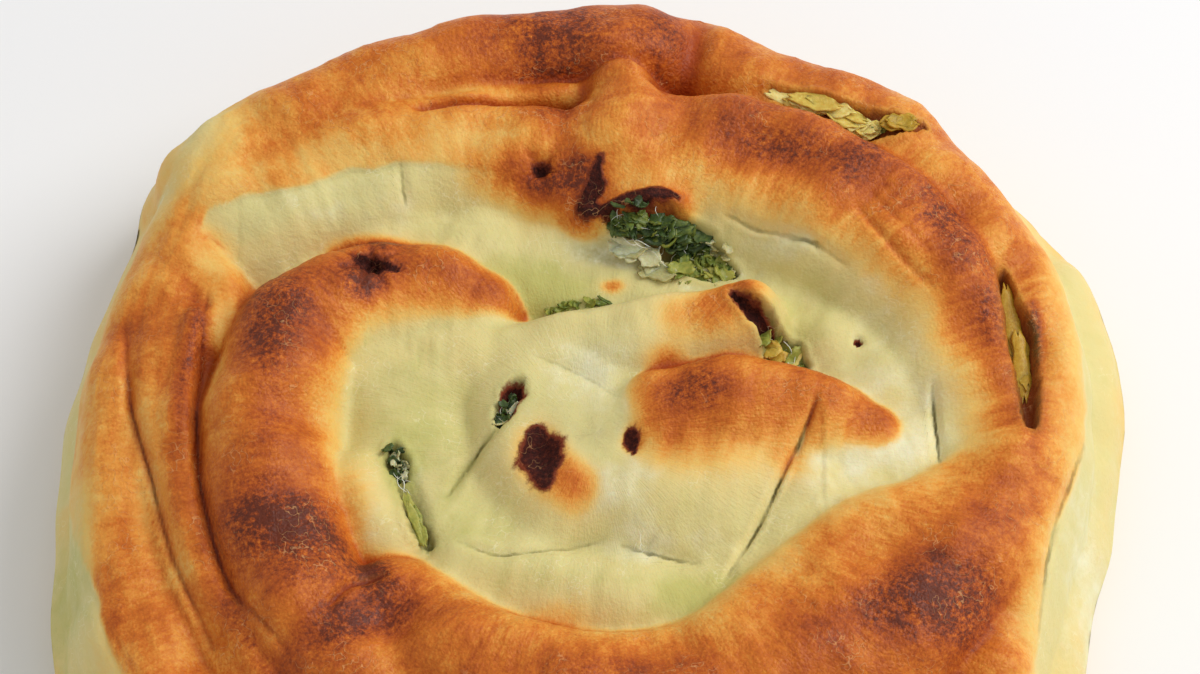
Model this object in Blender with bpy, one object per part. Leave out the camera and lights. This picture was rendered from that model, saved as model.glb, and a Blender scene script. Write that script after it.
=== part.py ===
"""Green onion cake: a thick baked coil of layered dough, torn open so that the chopped green onion shows."""

from collections import namedtuple
import math

import bmesh
import bpy
import numpy as np
from mathutils import Matrix, Vector
from mathutils.bvhtree import BVHTree

# All sizes in the tables are millimetres, seen from above, with +Y to the back and the height above the resting face.
MM = 0.001

EDGE_LEVEL = 9.0        # height at which the side is widest
FOOT_ROUND = 5.5        # how far the side draws in to the resting face
SPARE_BELOW = 0.6       # dough below the resting face that is cut off flat
FLOOR_LEVEL = 17.0      # dough between the folds
FLOOR_RADIUS = 43.0
BLEND = 1.0             # how softly neighbouring folds run together
ROUND_SHARE = 0.95      # share of a fold's half width that is round, the rest falls off straight
LUMP_HEIGHT = 0.3
LUMP_LENGTHS = (8.0, 17.0)
SIDE_SEAM_LEVEL = 14.0  # seam round the side, between the lowest turn and the one that lies on it
SIDE_SEAM_SWAY = 2.0
SIDE_SEAM_DEPTH = 0.8
SIDE_SEAM_HALF = 1.9

GRID_CUTS = 130
TOP_POLAR = math.radians(118)
BASE_POLAR = math.radians(134)
DOUGH_TRIANGLES = 8400

STRAND_SIDES = 7
STRAND_STEPS = 2
STRAND_GAP = 0.35       # air between the onion strand and the dough round it
PIECE_GAP = 0.3
SEED = 5

# A fold of dough: how steeply it rounds off, its half width left and right of the path, the share of that width kept
# at both ends, and the path as (x, y, crown height).
Fold = namedtuple("Fold", "steepness left right start end path")

FOLDS = {
    # the outermost turn
    "rim left": Fold(1.1, 4.6, 4.8, 1.7, 1.1, [
        (-41.5, -33, 23), (-47, -20, 23), (-50.4, -9, 22.6), (-51.6, 3, 22.4), (-50.8, 13, 22.4), (-46.7, 27, 23),
        (-40.8, 40.4, 25)]),
    "corner left": Fold(0.9, 2.6, 3.2, 1.0, 0.8, [(-45, 27.5, 23), (-41, 22.5, 24), (-39.8, 15, 24)]),
    "rim back left": Fold(1.1, 7.2, 4.8, 0.88, 0.9, [
        (-43.6, 38.2, 23.8), (-36, 42.9, 25.4), (-25.3, 47.5, 26.8), (-13, 51.8, 27.3), (6, 53.6, 27.6)]),
    "rim back right": Fold(1.1, 5.6, 4.0, 1.2, 0.9, [
        (2, 53.4, 27.6), (11, 53, 26.4), (20, 48.6, 26.8), (27, 46, 27), (34.4, 43.3, 26.4), (39.8, 37, 25.6),
        (44.8, 29.6, 25)]),
    "rim right": Fold(1.1, 4.4, 3.6, 1.1, 1.1, [
        (43.8, 31.6, 25), (48.3, 25, 25), (50.9, 15, 25.2), (51, 4, 26.4), (48, -7, 27), (45.6, -16, 25.6),
        (43.5, -25, 24.4)]),
    "rim front": Fold(1.0, 7.5, 7.0, 0.8, 0.7, [
        (-50, -18, 22), (-43.5, -32, 23), (-30, -43.5, 24), (-10, -50, 25), (12, -49.5, 25.4), (31, -41, 25),
        (43.5, -26, 24.4)]),
    "strand left": Fold(1.0, 3.0, 3.8, 1.3, 1.0, [
        (-32.5, -29.5, 24), (-36.3, -23.5, 24), (-41.5, -14, 24), (-45, -3, 24), (-46.8, 7, 24.3),
        (-46.5, 17, 23.8), (-43.5, 27, 22.6)]),
    # the second turn
    "ridge left": Fold(0.85, 6.2, 8.6, 0.9, 0.85, [
        (-20, -34, 27), (-29.5, -21, 28.6), (-35, -6, 29), (-35.4, 7, 29.5), (-33, 15.5, 28.8), (-29, 19.5, 28)]),
    "arm left": Fold(0.75, 4.6, 7.6, 1.0, 0.7, [
        (-33, 17, 28), (-26, 21.3, 27.2), (-18, 22.5, 26.6), (-12, 20.7, 25)]),
    "shelf back left": Fold(0.7, 4.6, 10.0, 1.0, 0.9, [
        (-38.5, 34.5, 25), (-28, 38.8, 26.6), (-14, 41.6, 27.4), (0, 39, 28)]),
    "crescent": Fold(1.0, 1.6, 1.6, 0.9, 0.9, [(-19, 45.2, 24.6), (-10, 46.8, 25), (0, 46.6, 25)]),
    "nose": Fold(0.8, 7.0, 7.5, 0.4, 1.2, [(4, 46, 30.2), (4.4, 41.5, 31), (6.5, 35, 28.5)]),
    "burnt fold": Fold(0.7, 3.8, 3.8, 1.0, 0.8, [(-2, 38.5, 27), (-1.2, 34.5, 26), (0.6, 31, 24.6)]),
    "ridge right": Fold(0.72, 4.4, 13.0, 1.1, 0.6, [
        (8, 41, 29), (20, 39, 30), (31.5, 33, 30.4), (40.5, 24, 28.8), (44.6, 12.5, 27), (47, -1, 27)]),
    "shoulder right": Fold(0.62, 4.5, 5.5, 0.9, 0.9, [(36.5, 38, 26.2), (40.8, 33, 26.2), (44.4, 27, 25.8)]),
    "ridge front": Fold(0.72, 12.5, 9.6, 0.35, 0.56, [
        (48, -2, 27), (39, -14, 29.6), (26, -24.5, 30.6), (8, -31, 31), (-8, -27.8, 30.4), (-20, -18, 26.8)]),
    "front flank": Fold(0.72, 8.0, 7.6, 0.7, 0.8, [
        (45, -3, 27), (38.6, -9.2, 28.6), (32, -12.8, 29.2), (24, -18.6, 29.4), (15, -24.6, 29.4)]),
    # the centre
    "centre back": Fold(0.8, 2.7, 9.0, 1.1, 0.6, [(-22, 14, 23), (-8, 14.6, 24.8), (6, 16.6, 27), (17.5, 18.8, 28)]),
    "centre ridge": Fold(0.8, 3.2, 10.5, 0.8, 0.6, [(9, 7.2, 27.6), (17, 7.8, 29), (26, 5.9, 28), (31, 4, 26)]),
    "centre dome": Fold(0.42, 8.0, 13.0, 0.9, 0.6, [(-1, 3, 25.4), (8, 1, 26.6), (16, -1, 27.0), (21, -3, 26)]),
    "centre lobe": Fold(0.7, 7.0, 8.0, 0.8, 1.0, [(-7, 7, 25), (-4, -1, 25.5), (4, -4.4, 25.5), (13, -6, 25)]),
    "inner fold right": Fold(0.7, 5.0, 6.0, 1.0, 0.9, [(24, -7, 25), (31, -2, 25), (37.5, 1, 24.5)]),
    "inner fold front": Fold(0.7, 5.0, 5.5, 0.9, 0.9, [
        (-13, -14, 23.6), (1, -16.4, 24.6), (15, -15.5, 24.2), (26, -8, 24)]),
    "plateau": Fold(0.5, 9.0, 10.0, 1.0, 0.7, [(-20.5, 13, 23.2), (-19, 0, 23), (-12, -7, 22.8), (4, -11, 23)]),
    "front left lobe": Fold(0.8, 4.0, 4.2, 1.0, 0.9, [(-25.5, -3, 24.5), (-21.5, -9.5, 24.5)]),
    # the pale layers between the turns
    "inner back": Fold(0.6, 7.0, 7.0, 1.1, 0.7, [(-18, 29, 22.6), (-6, 27, 22.6), (4, 24.5, 22.2), (13, 22.8, 21.8)]),
    "inner right": Fold(0.6, 8.0, 8.6, 0.9, 1.0, [(19, 25.5, 22.4), (28.5, 19, 23), (34.5, 8, 23.6)]),
    "valley back left": Fold(0.6, 6.5, 7.0, 1.0, 1.0, [(-36, 30, 22), (-25, 32, 22.5), (-12, 31, 22.5)]),
    # the lowest turn, which shows below the rim
    "base right": Fold(1.0, 6.0, 7.0, 1.0, 1.0, [
        (43.6, 32.6, 15), (53, 22, 16.4), (54.5, 11, 16.6), (51.4, -3, 16.2), (49.2, -14, 16), (47, -25, 15),
        (36, -38, 14)]),
    "base left": Fold(1.0, 6.0, 7.0, 1.0, 1.0, [
        (-43.5, -34, 14), (-51.9, -20.5, 15), (-53, -7, 14.4), (-48.8, 10, 13), (-40.6, 28.4, 13)]),
}

# A seam between folds: depth, half width, path.
SEAMS = {
    "left line": (1.5, 1.0, [(-51.6, 18), (-50.4, 7.5), (-47.8, -1.5), (-44.6, -12.5), (-39.6, -23.3)]),
    "left groove": (1.0, 1.0, [(-42.3, 21), (-42.6, 12), (-42.8, 5), (-42.2, -4), (-38.5, -16.4), (-31.6, -25.2)]),
    "centre crease": (1.5, 0.9, [(24.6, 5.5), (22.6, -2), (18.9, -9.9), (14.5, -16)]),
    "right hair": (1.0, 0.7, [(38.3, 8.5), (38.8, -2)]),
    "smile left": (1.1, 0.8, [(-14.5, -10), (-6, -10.4), (3, -9)]),
    "smile right": (1.0, 0.8, [(8, -10.5), (15, -13.5)]),
    "centre left": (1.3, 0.8, [(-8.5, 7), (-12, 1.5), (-15.5, -4.5)]),
    "tuft": (1.5, 1.0, [(-21, 2), (-18.5, -5), (-16.5, -11)]),
    "front overlap": (1.5, 0.9, [(-27.6, -20.8), (-25.1, -17.4), (-21, -15.8)]),
    "slit right": (2.4, 1.0, [(46.4, 23), (47.5, 13), (48.8, 0)]),
    "tongue": (1.5, 0.9, [(16, 20), (18.9, 16.6), (22, 13)]),
    "rim right": (1.4, 1.1, [(11, 46), (20, 46), (36, 41)]),
    "slit back": (2.4, 0.9, [(-20, 43.6), (-10, 44.8), (1, 44.4)]),
    "dimple back": (2.0, 1.7, [(14, 58), (12.4, 52), (11, 45)]),
    "ridge": (0.6, 0.8, [(30, 29.5), (33.8, 24), (39, 19)]),
}

# The edge of a layer that lies on another: how far the surface drops on the right of the path, over what distance it
# comes back up, and the path.
LAYERS = {
    "shelf": (0.8, 3.0, [(-46, 27.5), (-43, 30), (-38.5, 31.8), (-32.4, 33), (-27, 34.5), (-21.1, 36.4), (-14, 36.2),
                         (-8, 34.2)]),
    "nose": (0.8, 2.4, [(5.2, 48), (1.8, 44.6), (0.4, 40.5), (0.4, 37)]),
    "centre crease": (0.9, 3.0, [(13.5, -17), (18.9, -9.9), (22.6, -2), (24.6, 5)]),
    "centre": (0.6, 2.4, [(16, 19.9), (8, 18.9), (0, 17.4), (-8, 16.2), (-14, 15.4)]),
}

# A tear: the level it reaches down to, half width, path.
TEARS = {
    "main": (18.6, 2.5, [(2.5, 29.4), (8, 28.4), (14.5, 26)]),
    "beside tongue": (19.4, 1.2, [(19.8, 16), (22.4, 13.2), (24.6, 10)]),
    "rim": (21.2, 1.0, [(22, 44.8), (27, 42.8), (32, 40.9), (37, 41.3)]),
    "slit right": (20, 0.85, [(46.8, 20.5), (47.5, 13), (48.4, 3)]),
    "centre left": (21.2, 1.0, [(-7.2, 8), (-8.3, 6), (-9.1, 3.8)]),
    "tuft": (20.2, 0.9, [(-21.3, 0.6), (-19.6, -4), (-17.2, -10)]),
}

# A small pit: x, y, half width along x and along y, depth.
PITS = {
    "burnt": (-5, -0.6, 2.0, 2.9, 1.8),
    "spot": (5, 0.6, 1.0, 1.2, 1.0),
    "pinch": (-23.6, 22.6, 1.6, 1.4, 2.4),
    "back": (-5.1, 34.9, 1.0, 1.0, 2.0),
    "right": (30.4, 14.4, 0.6, 0.6, 1.2),
}

# The rolled-up strand of onion inside the coil, from the centre outwards: (x, y, height, radius).
STRAND = {
    "centre left tear": [(-7, 8.6, 20.4, 1.5), (-9.4, 3.4, 20.2, 1.6)],
    "under the plateau": [(-15.5, 2.4, 17.6, 1.8)],
    "tuft tear": [(-20.8, 0.6, 18.8, 1.6), (-19.5, -4, 19, 1.6), (-17, -10, 18.2, 1.7)],
    "under the centre": [(-9, -14.5, 14.5, 2.2), (4, -14, 14.5, 2.2), (16, -11, 14.5, 2.2), (22.5, -2, 14.5, 2.2),
                         (26.5, 5, 15.5, 2.1)],
    "tongue tear": [(24.8, 10, 18.6, 1.7), (20.8, 15.6, 18.8, 1.7), (17.4, 21, 17.6, 2.2)],
    "main tear": [(13.5, 26, 17.6, 2.8), (8.5, 28.4, 17.8, 2.9), (2, 29.6, 17.2, 2.5)],
    "second turn": [(-7, 31, 15.2, 2.2), (-22, 31.5, 14.5, 2.3), (-37, 27, 14, 2.3), (-43, 15, 13, 2.3),
                    (-44, 2, 13, 2.3), (-41, -12, 13, 2.3), (-34, -26, 13, 2.3), (-20, -38, 13.5, 2.3),
                    (0, -42, 14, 2.3), (20, -38.5, 14, 2.3), (35, -27, 14, 2.3), (43.5, -14, 14.5, 2.3),
                    (46.6, -3, 17, 1.9)],
    "right slit": [(48.2, 4, 19.6, 1.4), (47.5, 13, 20, 1.4), (46.5, 21, 19.8, 1.4)],
    "under the rim": [(42.4, 31, 19.2, 1.5)],
    "rim tear": [(37.6, 39.6, 20.6, 1.4), (32, 41.1, 21, 1.4), (27, 42.9, 21, 1.4), (21, 45.2, 20.6, 1.3)],
}

# Chopped pieces that lie on the strand where it shows: how many leaf strips and how many rings.
PIECES = {
    "main tear": (16, 6),
    "tongue tear": (7, 2),
    "tuft tear": (6, 1),
    "centre left tear": (4, 0),
    "right slit": (5, 0),
    "rim tear": (7, 2),
}


def clear_scene():
    for obj in list(bpy.data.objects):
        bpy.data.objects.remove(obj, do_unlink=True)


def new_collection(name):
    collection = bpy.data.collections.new(name)
    bpy.context.scene.collection.children.link(collection)
    return collection


def new_material(name, color, roughness):
    material = bpy.data.materials.new(name)
    material.use_nodes = True
    shader = material.node_tree.nodes["Principled BSDF"]
    shader.inputs["Base Color"].default_value = (*color, 1)
    shader.inputs["Roughness"].default_value = roughness
    material.diffuse_color = (*color, 1)
    return material


def new_object(name, mesh, collection, material=None):
    obj = bpy.data.objects.new(name, mesh)
    collection.objects.link(obj)
    if material:
        mesh.materials.append(material)
    return obj


def mesh_from_bmesh(name, bm):
    mesh = bpy.data.meshes.new(name)
    bm.to_mesh(mesh)
    bm.free()
    return mesh


# Paths

def smooth_path(points, steps=6):
    """Curve that passes through the points, as rows of the same numbers that a point has."""
    p = np.asarray(points, float)
    p = np.vstack([2 * p[0] - p[1], p, 2 * p[-1] - p[-2]])
    t = np.linspace(0, 1, steps, endpoint=False)[:, None]
    spans = []
    for a, b, c, d in zip(p, p[1:], p[2:], p[3:]):
        bend = 2 * a - 5 * b + 4 * c - d
        twist = d - a + 3 * (b - c)
        spans.append(b + 0.5 * ((c - a) * t + bend * t**2 + twist * t**3))
    return np.vstack(spans + [p[-2][None]])


def along(x, y, path):
    """Distance from each place to the path, the side it is on (+1 left, -1 right), and the share of the way along."""
    nearest = np.full(x.shape, np.inf)
    side = np.zeros(x.shape)
    where = np.zeros(x.shape)
    for i, (a, b) in enumerate(zip(path[:, :2], path[1:, :2])):
        ex, ey = b - a
        s = np.clip(((x - a[0]) * ex + (y - a[1]) * ey) / (ex * ex + ey * ey), 0, 1)
        dx = x - a[0] - s * ex
        dy = y - a[1] - s * ey
        closer = dx * dx + dy * dy < nearest
        nearest[closer] = (dx * dx + dy * dy)[closer]
        side[closer] = ((ex * dy - ey * dx) / math.hypot(ex, ey))[closer]
        where[closer] = (i + s)[closer]
    distance = np.sqrt(nearest)
    return distance, side / np.maximum(distance, 1e-6), where / (len(path) - 1)


def close_to(x, y, points, reach):
    p = np.asarray(points)
    inside_x = (x > p[:, 0].min() - reach) & (x < p[:, 0].max() + reach)
    inside_y = (y > p[:, 1].min() - reach) & (y < p[:, 1].max() + reach)
    return inside_x & inside_y


# Height of the dough's upper surface

def fold_height(x, y, fold):
    path = smooth_path(fold.path)
    distance, side, share = along(x, y, path)
    crown = np.interp(share, np.linspace(0, 1, len(path)), path[:, 2])
    width = fold.right + (fold.left - fold.right) * (0.5 + 0.5 * side)
    width = width * np.interp(share, [0, 0.5, 1], [fold.start, 1, fold.end])
    t = distance / width
    t_round = np.minimum(t, ROUND_SHARE)
    slope = ROUND_SHARE / math.sqrt(1 - ROUND_SHARE**2)
    return crown - fold.steepness * width * (1 - np.sqrt(1 - t_round**2) + slope * (t - t_round))


def folds_height(x, y):
    radius = np.hypot(x, y)
    total = np.exp((FLOOR_LEVEL - 3 * np.maximum(radius - FLOOR_RADIUS, 0) - 20) / BLEND)
    for fold in FOLDS.values():
        near = close_to(x, y, fold.path, 3 * max(fold.left, fold.right))
        total[near] += np.exp((np.maximum(fold_height(x[near], y[near], fold), -10) - 20) / BLEND)
    return 20 + BLEND * np.log(total)


def cut_seams(x, y, z):
    for depth, width, path in SEAMS.values():
        near = close_to(x, y, path, 4 * width)
        distance, _, share = along(x[near], y[near], smooth_path(path))
        z[near] -= depth * np.sqrt(np.sin(np.pi * share)) * np.exp(-((distance / width) ** 2))


def step_layers(x, y, z):
    for drop, reach, path in LAYERS.values():
        near = close_to(x, y, path, 5 * reach)
        distance, side, share = along(x[near], y[near], smooth_path(path))
        below = np.clip(0.5 - side * distance, 0, 1) * np.sqrt(np.sin(np.pi * share))
        z[near] -= drop * below * np.exp(-distance / reach)


def cut_tears(x, y, z):
    for level, width, path in TEARS.values():
        near = close_to(x, y, path, 4 * width)
        distance = along(x[near], y[near], smooth_path(path))[0]
        inside = np.clip((1.3 - distance / width) / 0.6, 0, 1)
        inside = inside * inside * (3 - 2 * inside)
        z[near] += (np.minimum(level, z[near]) - z[near]) * inside


def press_pits(x, y, z):
    for px, py, wx, wy, depth in PITS.values():
        z -= depth * np.exp(-(((x - px) / wx) ** 2) - ((y - py) / wy) ** 2)


def lumps(x, y):
    """Low swells, as hand-rolled dough has."""
    rng = np.random.default_rng(SEED)
    total = np.zeros(x.shape)
    for _ in range(14):
        turn, phase = rng.uniform(0, 2 * np.pi, 2)
        length = rng.uniform(*LUMP_LENGTHS)
        total += np.sin((x * np.cos(turn) + y * np.sin(turn)) * 2 * np.pi / length + phase)
    return LUMP_HEIGHT * total / math.sqrt(14 / 2)


def surface_height(x, y):
    z = folds_height(x, y) + lumps(x, y)
    step_layers(x, y, z)
    cut_seams(x, y, z)
    press_pits(x, y, z)
    cut_tears(x, y, z)
    return z


# Dough

def outline_radius(angle):
    """How far out the upper surface reaches down to the edge level."""
    around = np.radians(np.arange(-180, 180, 2))
    r, a = np.meshgrid(np.arange(46, 70, 0.1), around)
    z = surface_height(r * np.cos(a), r * np.sin(a))
    radius = np.where(z > EDGE_LEVEL, r, 0).max(axis=1)
    radius = (np.roll(radius, 1) + 2 * radius + np.roll(radius, -1)) / 4
    return np.interp(angle, around, radius, period=2 * np.pi)


def side_inset(angle, share, z):
    """How far the seam round the side draws the skin in."""
    level = SIDE_SEAM_LEVEL + SIDE_SEAM_SWAY * (np.sin(angle + 0.6) + 0.5 * np.sin(3 * angle))
    outer = np.clip((share - 0.88) / 0.06, 0, 1) * (0.75 + 0.25 * np.sin(2 * angle + 1))
    return SIDE_SEAM_DEPTH * outer * np.exp(-(((z - level) / SIDE_SEAM_HALF) ** 2))


def dough_points(directions):
    """Maps directions from the middle to the dough's skin: upper surface, rounded side, flat resting face."""
    polar = np.arccos(np.clip(directions[:, 2], -1, 1))
    angle = np.arctan2(directions[:, 1], directions[:, 0])
    edge = outline_radius(angle)
    outward = np.minimum(polar / TOP_POLAR, 1)
    down = np.clip((polar - TOP_POLAR) / (BASE_POLAR - TOP_POLAR), 0, 1) * np.pi / 2
    inward = np.clip((np.pi - polar) / (np.pi - BASE_POLAR), 0, 1)
    r = edge * np.sin(outward * np.pi / 2) - FOOT_ROUND * (1 - np.cos(down))
    r = np.where(polar > BASE_POLAR, (edge - FOOT_ROUND) * inward, r)
    x, y = r * np.cos(angle), r * np.sin(angle)
    upper = surface_height(x, y)
    rim = np.clip(surface_height(edge * np.cos(angle), edge * np.sin(angle)), 6, 12)
    z = np.where(polar <= TOP_POLAR, np.maximum(upper, rim), rim - (rim + SPARE_BELOW) * np.sin(down))
    z[polar >= BASE_POLAR] = -SPARE_BELOW
    inset = 1 - side_inset(angle, r / edge, z) / np.maximum(r, 1)
    return np.stack([x * inset, y * inset, z], axis=1)


def dough_mesh():
    bm = bmesh.new()
    bmesh.ops.create_cube(bm, size=2)
    bmesh.ops.subdivide_edges(bm, edges=bm.edges[:], cuts=GRID_CUTS, use_grid_fill=True)
    mesh = mesh_from_bmesh("dough", bm)
    points = np.empty(len(mesh.vertices) * 3)
    mesh.vertices.foreach_get("co", points)
    points = points.reshape(-1, 3)
    points /= np.linalg.norm(points, axis=1)[:, None]
    skin = dough_points(points)
    middle = (skin.max(axis=0) + skin.min(axis=0)) / 2
    mesh.vertices.foreach_set("co", (skin * MM).ravel())
    mesh.update()
    return mesh, Vector((middle[0], middle[1], 0)) * MM


def thin_out(obj, triangles):
    present = sum(len(p.vertices) - 2 for p in obj.data.polygons)
    modifier = obj.modifiers.new("fewer faces", "DECIMATE")
    modifier.ratio = triangles / present
    modifier.use_collapse_triangulate = True


def subtract(obj, cutter):
    modifier = obj.modifiers.new("room for " + cutter.name, "BOOLEAN")
    modifier.operation = "DIFFERENCE"
    modifier.solver = "EXACT"
    modifier.object = cutter


def table_mesh():
    """A block below the resting face."""
    size = Matrix.Diagonal((200 * MM, 200 * MM, 10 * MM, 1))
    bm = bmesh.new()
    bmesh.ops.create_cube(bm, size=1, matrix=Matrix.Translation((0, 0, -5 * MM)) @ size)
    return mesh_from_bmesh("table", bm)


# Onion strand

def strand_path():
    return smooth_path([p for points in STRAND.values() for p in points], STRAND_STEPS)


def strand_stretch(name):
    """The part of the strand's path that belongs to one named stretch."""
    names = list(STRAND)
    first = sum(len(STRAND[n]) for n in names[: names.index(name)])
    last = first + len(STRAND[name]) - 1
    return strand_path()[first * STRAND_STEPS : last * STRAND_STEPS + 1]


def strand_mesh(name, extra):
    """A closed tube along the strand's path, thicker all round by extra."""
    path = strand_path()
    ahead = np.gradient(path[:, :3], axis=0)
    ahead /= np.linalg.norm(ahead, axis=1)[:, None]
    path[0, :3] -= ahead[0] * extra
    path[-1, :3] += ahead[-1] * extra
    bm = bmesh.new()
    rings = []
    for (x, y, z, radius), direction in zip(path, ahead):
        across = Vector((direction[1], -direction[0], 0)).normalized()
        above = across.cross(Vector(direction))
        centre = Vector((x, y, z))
        ring = []
        for i in range(STRAND_SIDES):
            turn = 2 * math.pi * (i + 0.5) / STRAND_SIDES
            offset = (across * math.cos(turn) + above * math.sin(turn)) * (radius + extra)
            ring.append(bm.verts.new((centre + offset) * MM))
        rings.append(ring)
    for ring, following in zip(rings, rings[1:]):
        for i in range(STRAND_SIDES):
            j = (i + 1) % STRAND_SIDES
            bm.faces.new((ring[i], ring[j], following[j], following[i]))
    bm.faces.new(rings[0])
    bm.faces.new(rings[-1])
    bmesh.ops.recalc_face_normals(bm, faces=bm.faces)
    return mesh_from_bmesh(name, bm)


# Chopped pieces

def leaf_strip(length, width, thickness, wave, cells=3):
    """A thin wavy piece of leaf, as points and faces."""
    points = []
    for level in (-0.5, 0.5):
        for i in range(cells + 1):
            s = i / cells
            rise = wave * math.sin(s * 2 * math.pi) + level * thickness
            for edge in (-0.5, 0.5):
                points.append(((s - 0.5) * length, edge * width * (0.8 + 0.4 * math.sin(s * math.pi)), rise))
    row = 2 * (cells + 1)
    faces = []
    for i in range(cells):
        a, b, c, d = 2 * i, 2 * i + 1, 2 * i + 3, 2 * i + 2
        faces += [(a, b, c, d), (d + row, c + row, b + row, a + row)]
        faces += [(a, d, d + row, a + row), (c, b, b + row, c + row)]
    last = 2 * cells
    faces += [(1, 0, row, row + 1), (last, last + 1, last + 1 + row, last + row)]
    return points, faces


def onion_ring(radius, wall, depth, sides=9):
    """A short slice of hollow leaf, as points and faces."""
    points = []
    for level in (-0.5, 0.5):
        for i in range(sides):
            turn = 2 * math.pi * i / sides
            for r in (radius, radius - wall):
                points.append((r * math.cos(turn), 0.85 * r * math.sin(turn), level * depth))
    row = 2 * sides
    faces = []
    for i in range(sides):
        a = 2 * i
        b = 2 * ((i + 1) % sides)
        faces += [(a, b, b + row, a + row), (b + 1, a + 1, a + 1 + row, b + 1 + row)]
        faces += [(a + 1, b + 1, b, a), (a + row, b + row, b + 1 + row, a + 1 + row)]
    return points, faces


def random_leaf(rng):
    return leaf_strip(rng.uniform(3, 6.2), rng.uniform(1.3, 2.4), 0.5, rng.uniform(0.1, 0.35))


def random_ring(rng):
    return onion_ring(rng.uniform(1.1, 1.7), 0.5, rng.uniform(0.9, 1.5))


def placing(rng, stretch):
    """A random place on the upper side of a stretch of the strand, facing roughly outwards."""
    x, y, z, radius = stretch[rng.integers(len(stretch))]
    lean = rng.uniform(-0.9, 0.9)
    heading = rng.uniform(0, 2 * math.pi)
    flat = Matrix.Rotation(heading, 4, "Z")
    tilt = Matrix.Rotation(lean, 4, (math.cos(heading), math.sin(heading), 0))
    place = Vector((x, y, z)) + tilt @ Vector((0, 0, radius * rng.uniform(0.75, 1.1)))
    place += Vector(rng.uniform(-0.6, 0.6, 3))
    return Matrix.Translation(place * MM) @ tilt @ flat @ Matrix.Scale(MM, 4)


def is_clear(points, faces, dough):
    tree = BVHTree.FromPolygons(points, faces)
    if tree.overlap(dough):
        return False
    for point in points:
        nearest, normal, _, distance = dough.find_nearest(point)
        if distance < PIECE_GAP * MM or (point - nearest).dot(normal) < 0:
            return False
    return True


def chopped_pieces(dough, collection):
    """Leaf strips and rings on the open stretches of the strand, each kept where it stays clear of the dough."""
    rng = np.random.default_rng(SEED)
    for name, (leaves, rings) in PIECES.items():
        stretch = strand_stretch(name)
        for make in [random_leaf] * leaves + [random_ring] * rings:
            for _ in range(60):
                shape, faces = make(rng)
                where = placing(rng, stretch)
                points = [where @ Vector(p) for p in shape]
                if is_clear(points, faces, dough):
                    mesh = bpy.data.meshes.new("piece")
                    mesh.from_pydata(points, [], faces)
                    new_object("piece", mesh, collection)
                    break


def fuse(obj, collection):
    """Joins everything in the collection to the object, then removes the collection."""
    modifier = obj.modifiers.new("fused pieces", "BOOLEAN")
    modifier.operation = "UNION"
    modifier.solver = "EXACT"
    modifier.operand_type = "COLLECTION"
    modifier.collection = collection
    bpy.context.view_layer.update()
    fused = bpy.data.meshes.new_from_object(obj.evaluated_get(bpy.context.evaluated_depsgraph_get()))
    obj.modifiers.clear()
    obj.data = fused
    for piece in list(collection.objects):
        bpy.data.objects.remove(piece, do_unlink=True)
    bpy.data.collections.remove(collection)


def drop_scraps(mesh):
    """Keeps only the largest connected body."""
    bm = bmesh.new()
    bm.from_mesh(mesh)
    bodies = []
    unseen = set(bm.verts)
    while unseen:
        body = []
        queue = [unseen.pop()]
        while queue:
            vert = queue.pop()
            body.append(vert)
            for edge in vert.link_edges:
                other = edge.other_vert(vert)
                if other in unseen:
                    unseen.remove(other)
                    queue.append(other)
        bodies.append(body)
    bodies.sort(key=len)
    for body in bodies[:-1]:
        bmesh.ops.delete(bm, geom=body, context="VERTS")
    bm.to_mesh(mesh)
    bm.free()


def evaluated_tree(obj):
    bpy.context.view_layer.update()
    return BVHTree.FromObject(obj, bpy.context.evaluated_depsgraph_get())


def main():
    clear_scene()
    cake = new_collection("green onion cake")
    cutters = new_collection("cutters")
    pieces = new_collection("pieces")
    dough_material = new_material("dough", (0.72, 0.42, 0.17), 0.5)
    filling_material = new_material("filling", (0.13, 0.22, 0.04), 0.45)

    mesh, middle = dough_mesh()
    dough = new_object("dough", mesh, cake, dough_material)
    thin_out(dough, DOUGH_TRIANGLES)
    table = new_object("table", table_mesh(), cutters)
    channel = new_object("strand channel", strand_mesh("strand channel", STRAND_GAP), cutters)
    for cutter in (table, channel):
        cutter.hide_render = True
        cutter.display_type = "WIRE"
        subtract(dough, cutter)

    filling = new_object("filling", strand_mesh("filling", 0), cake, filling_material)
    chopped_pieces(evaluated_tree(dough), pieces)
    fuse(filling, pieces)
    drop_scraps(filling.data)

    for obj in (dough, filling, table, channel):
        obj.location = -middle
    dough.data.shade_smooth()
    filling.data.set_sharp_from_angle(angle=math.radians(35))


main()
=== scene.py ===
"""Looks of the green onion cake: baked skin, burnt places, torn lips and chopped onion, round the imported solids."""

from collections import namedtuple
import math

import bmesh
import bpy
import numpy as np
from mathutils import Matrix, Vector


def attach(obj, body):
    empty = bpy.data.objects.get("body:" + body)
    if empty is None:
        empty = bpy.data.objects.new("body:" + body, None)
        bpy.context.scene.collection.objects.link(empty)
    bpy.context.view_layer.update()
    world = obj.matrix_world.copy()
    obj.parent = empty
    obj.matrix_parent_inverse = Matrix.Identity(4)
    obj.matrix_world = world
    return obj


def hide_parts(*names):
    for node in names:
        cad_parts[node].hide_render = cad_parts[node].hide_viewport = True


# All sizes in the tables are millimetres, seen from above, with +Y to the back and the height above the resting face.
MM = 0.001

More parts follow.
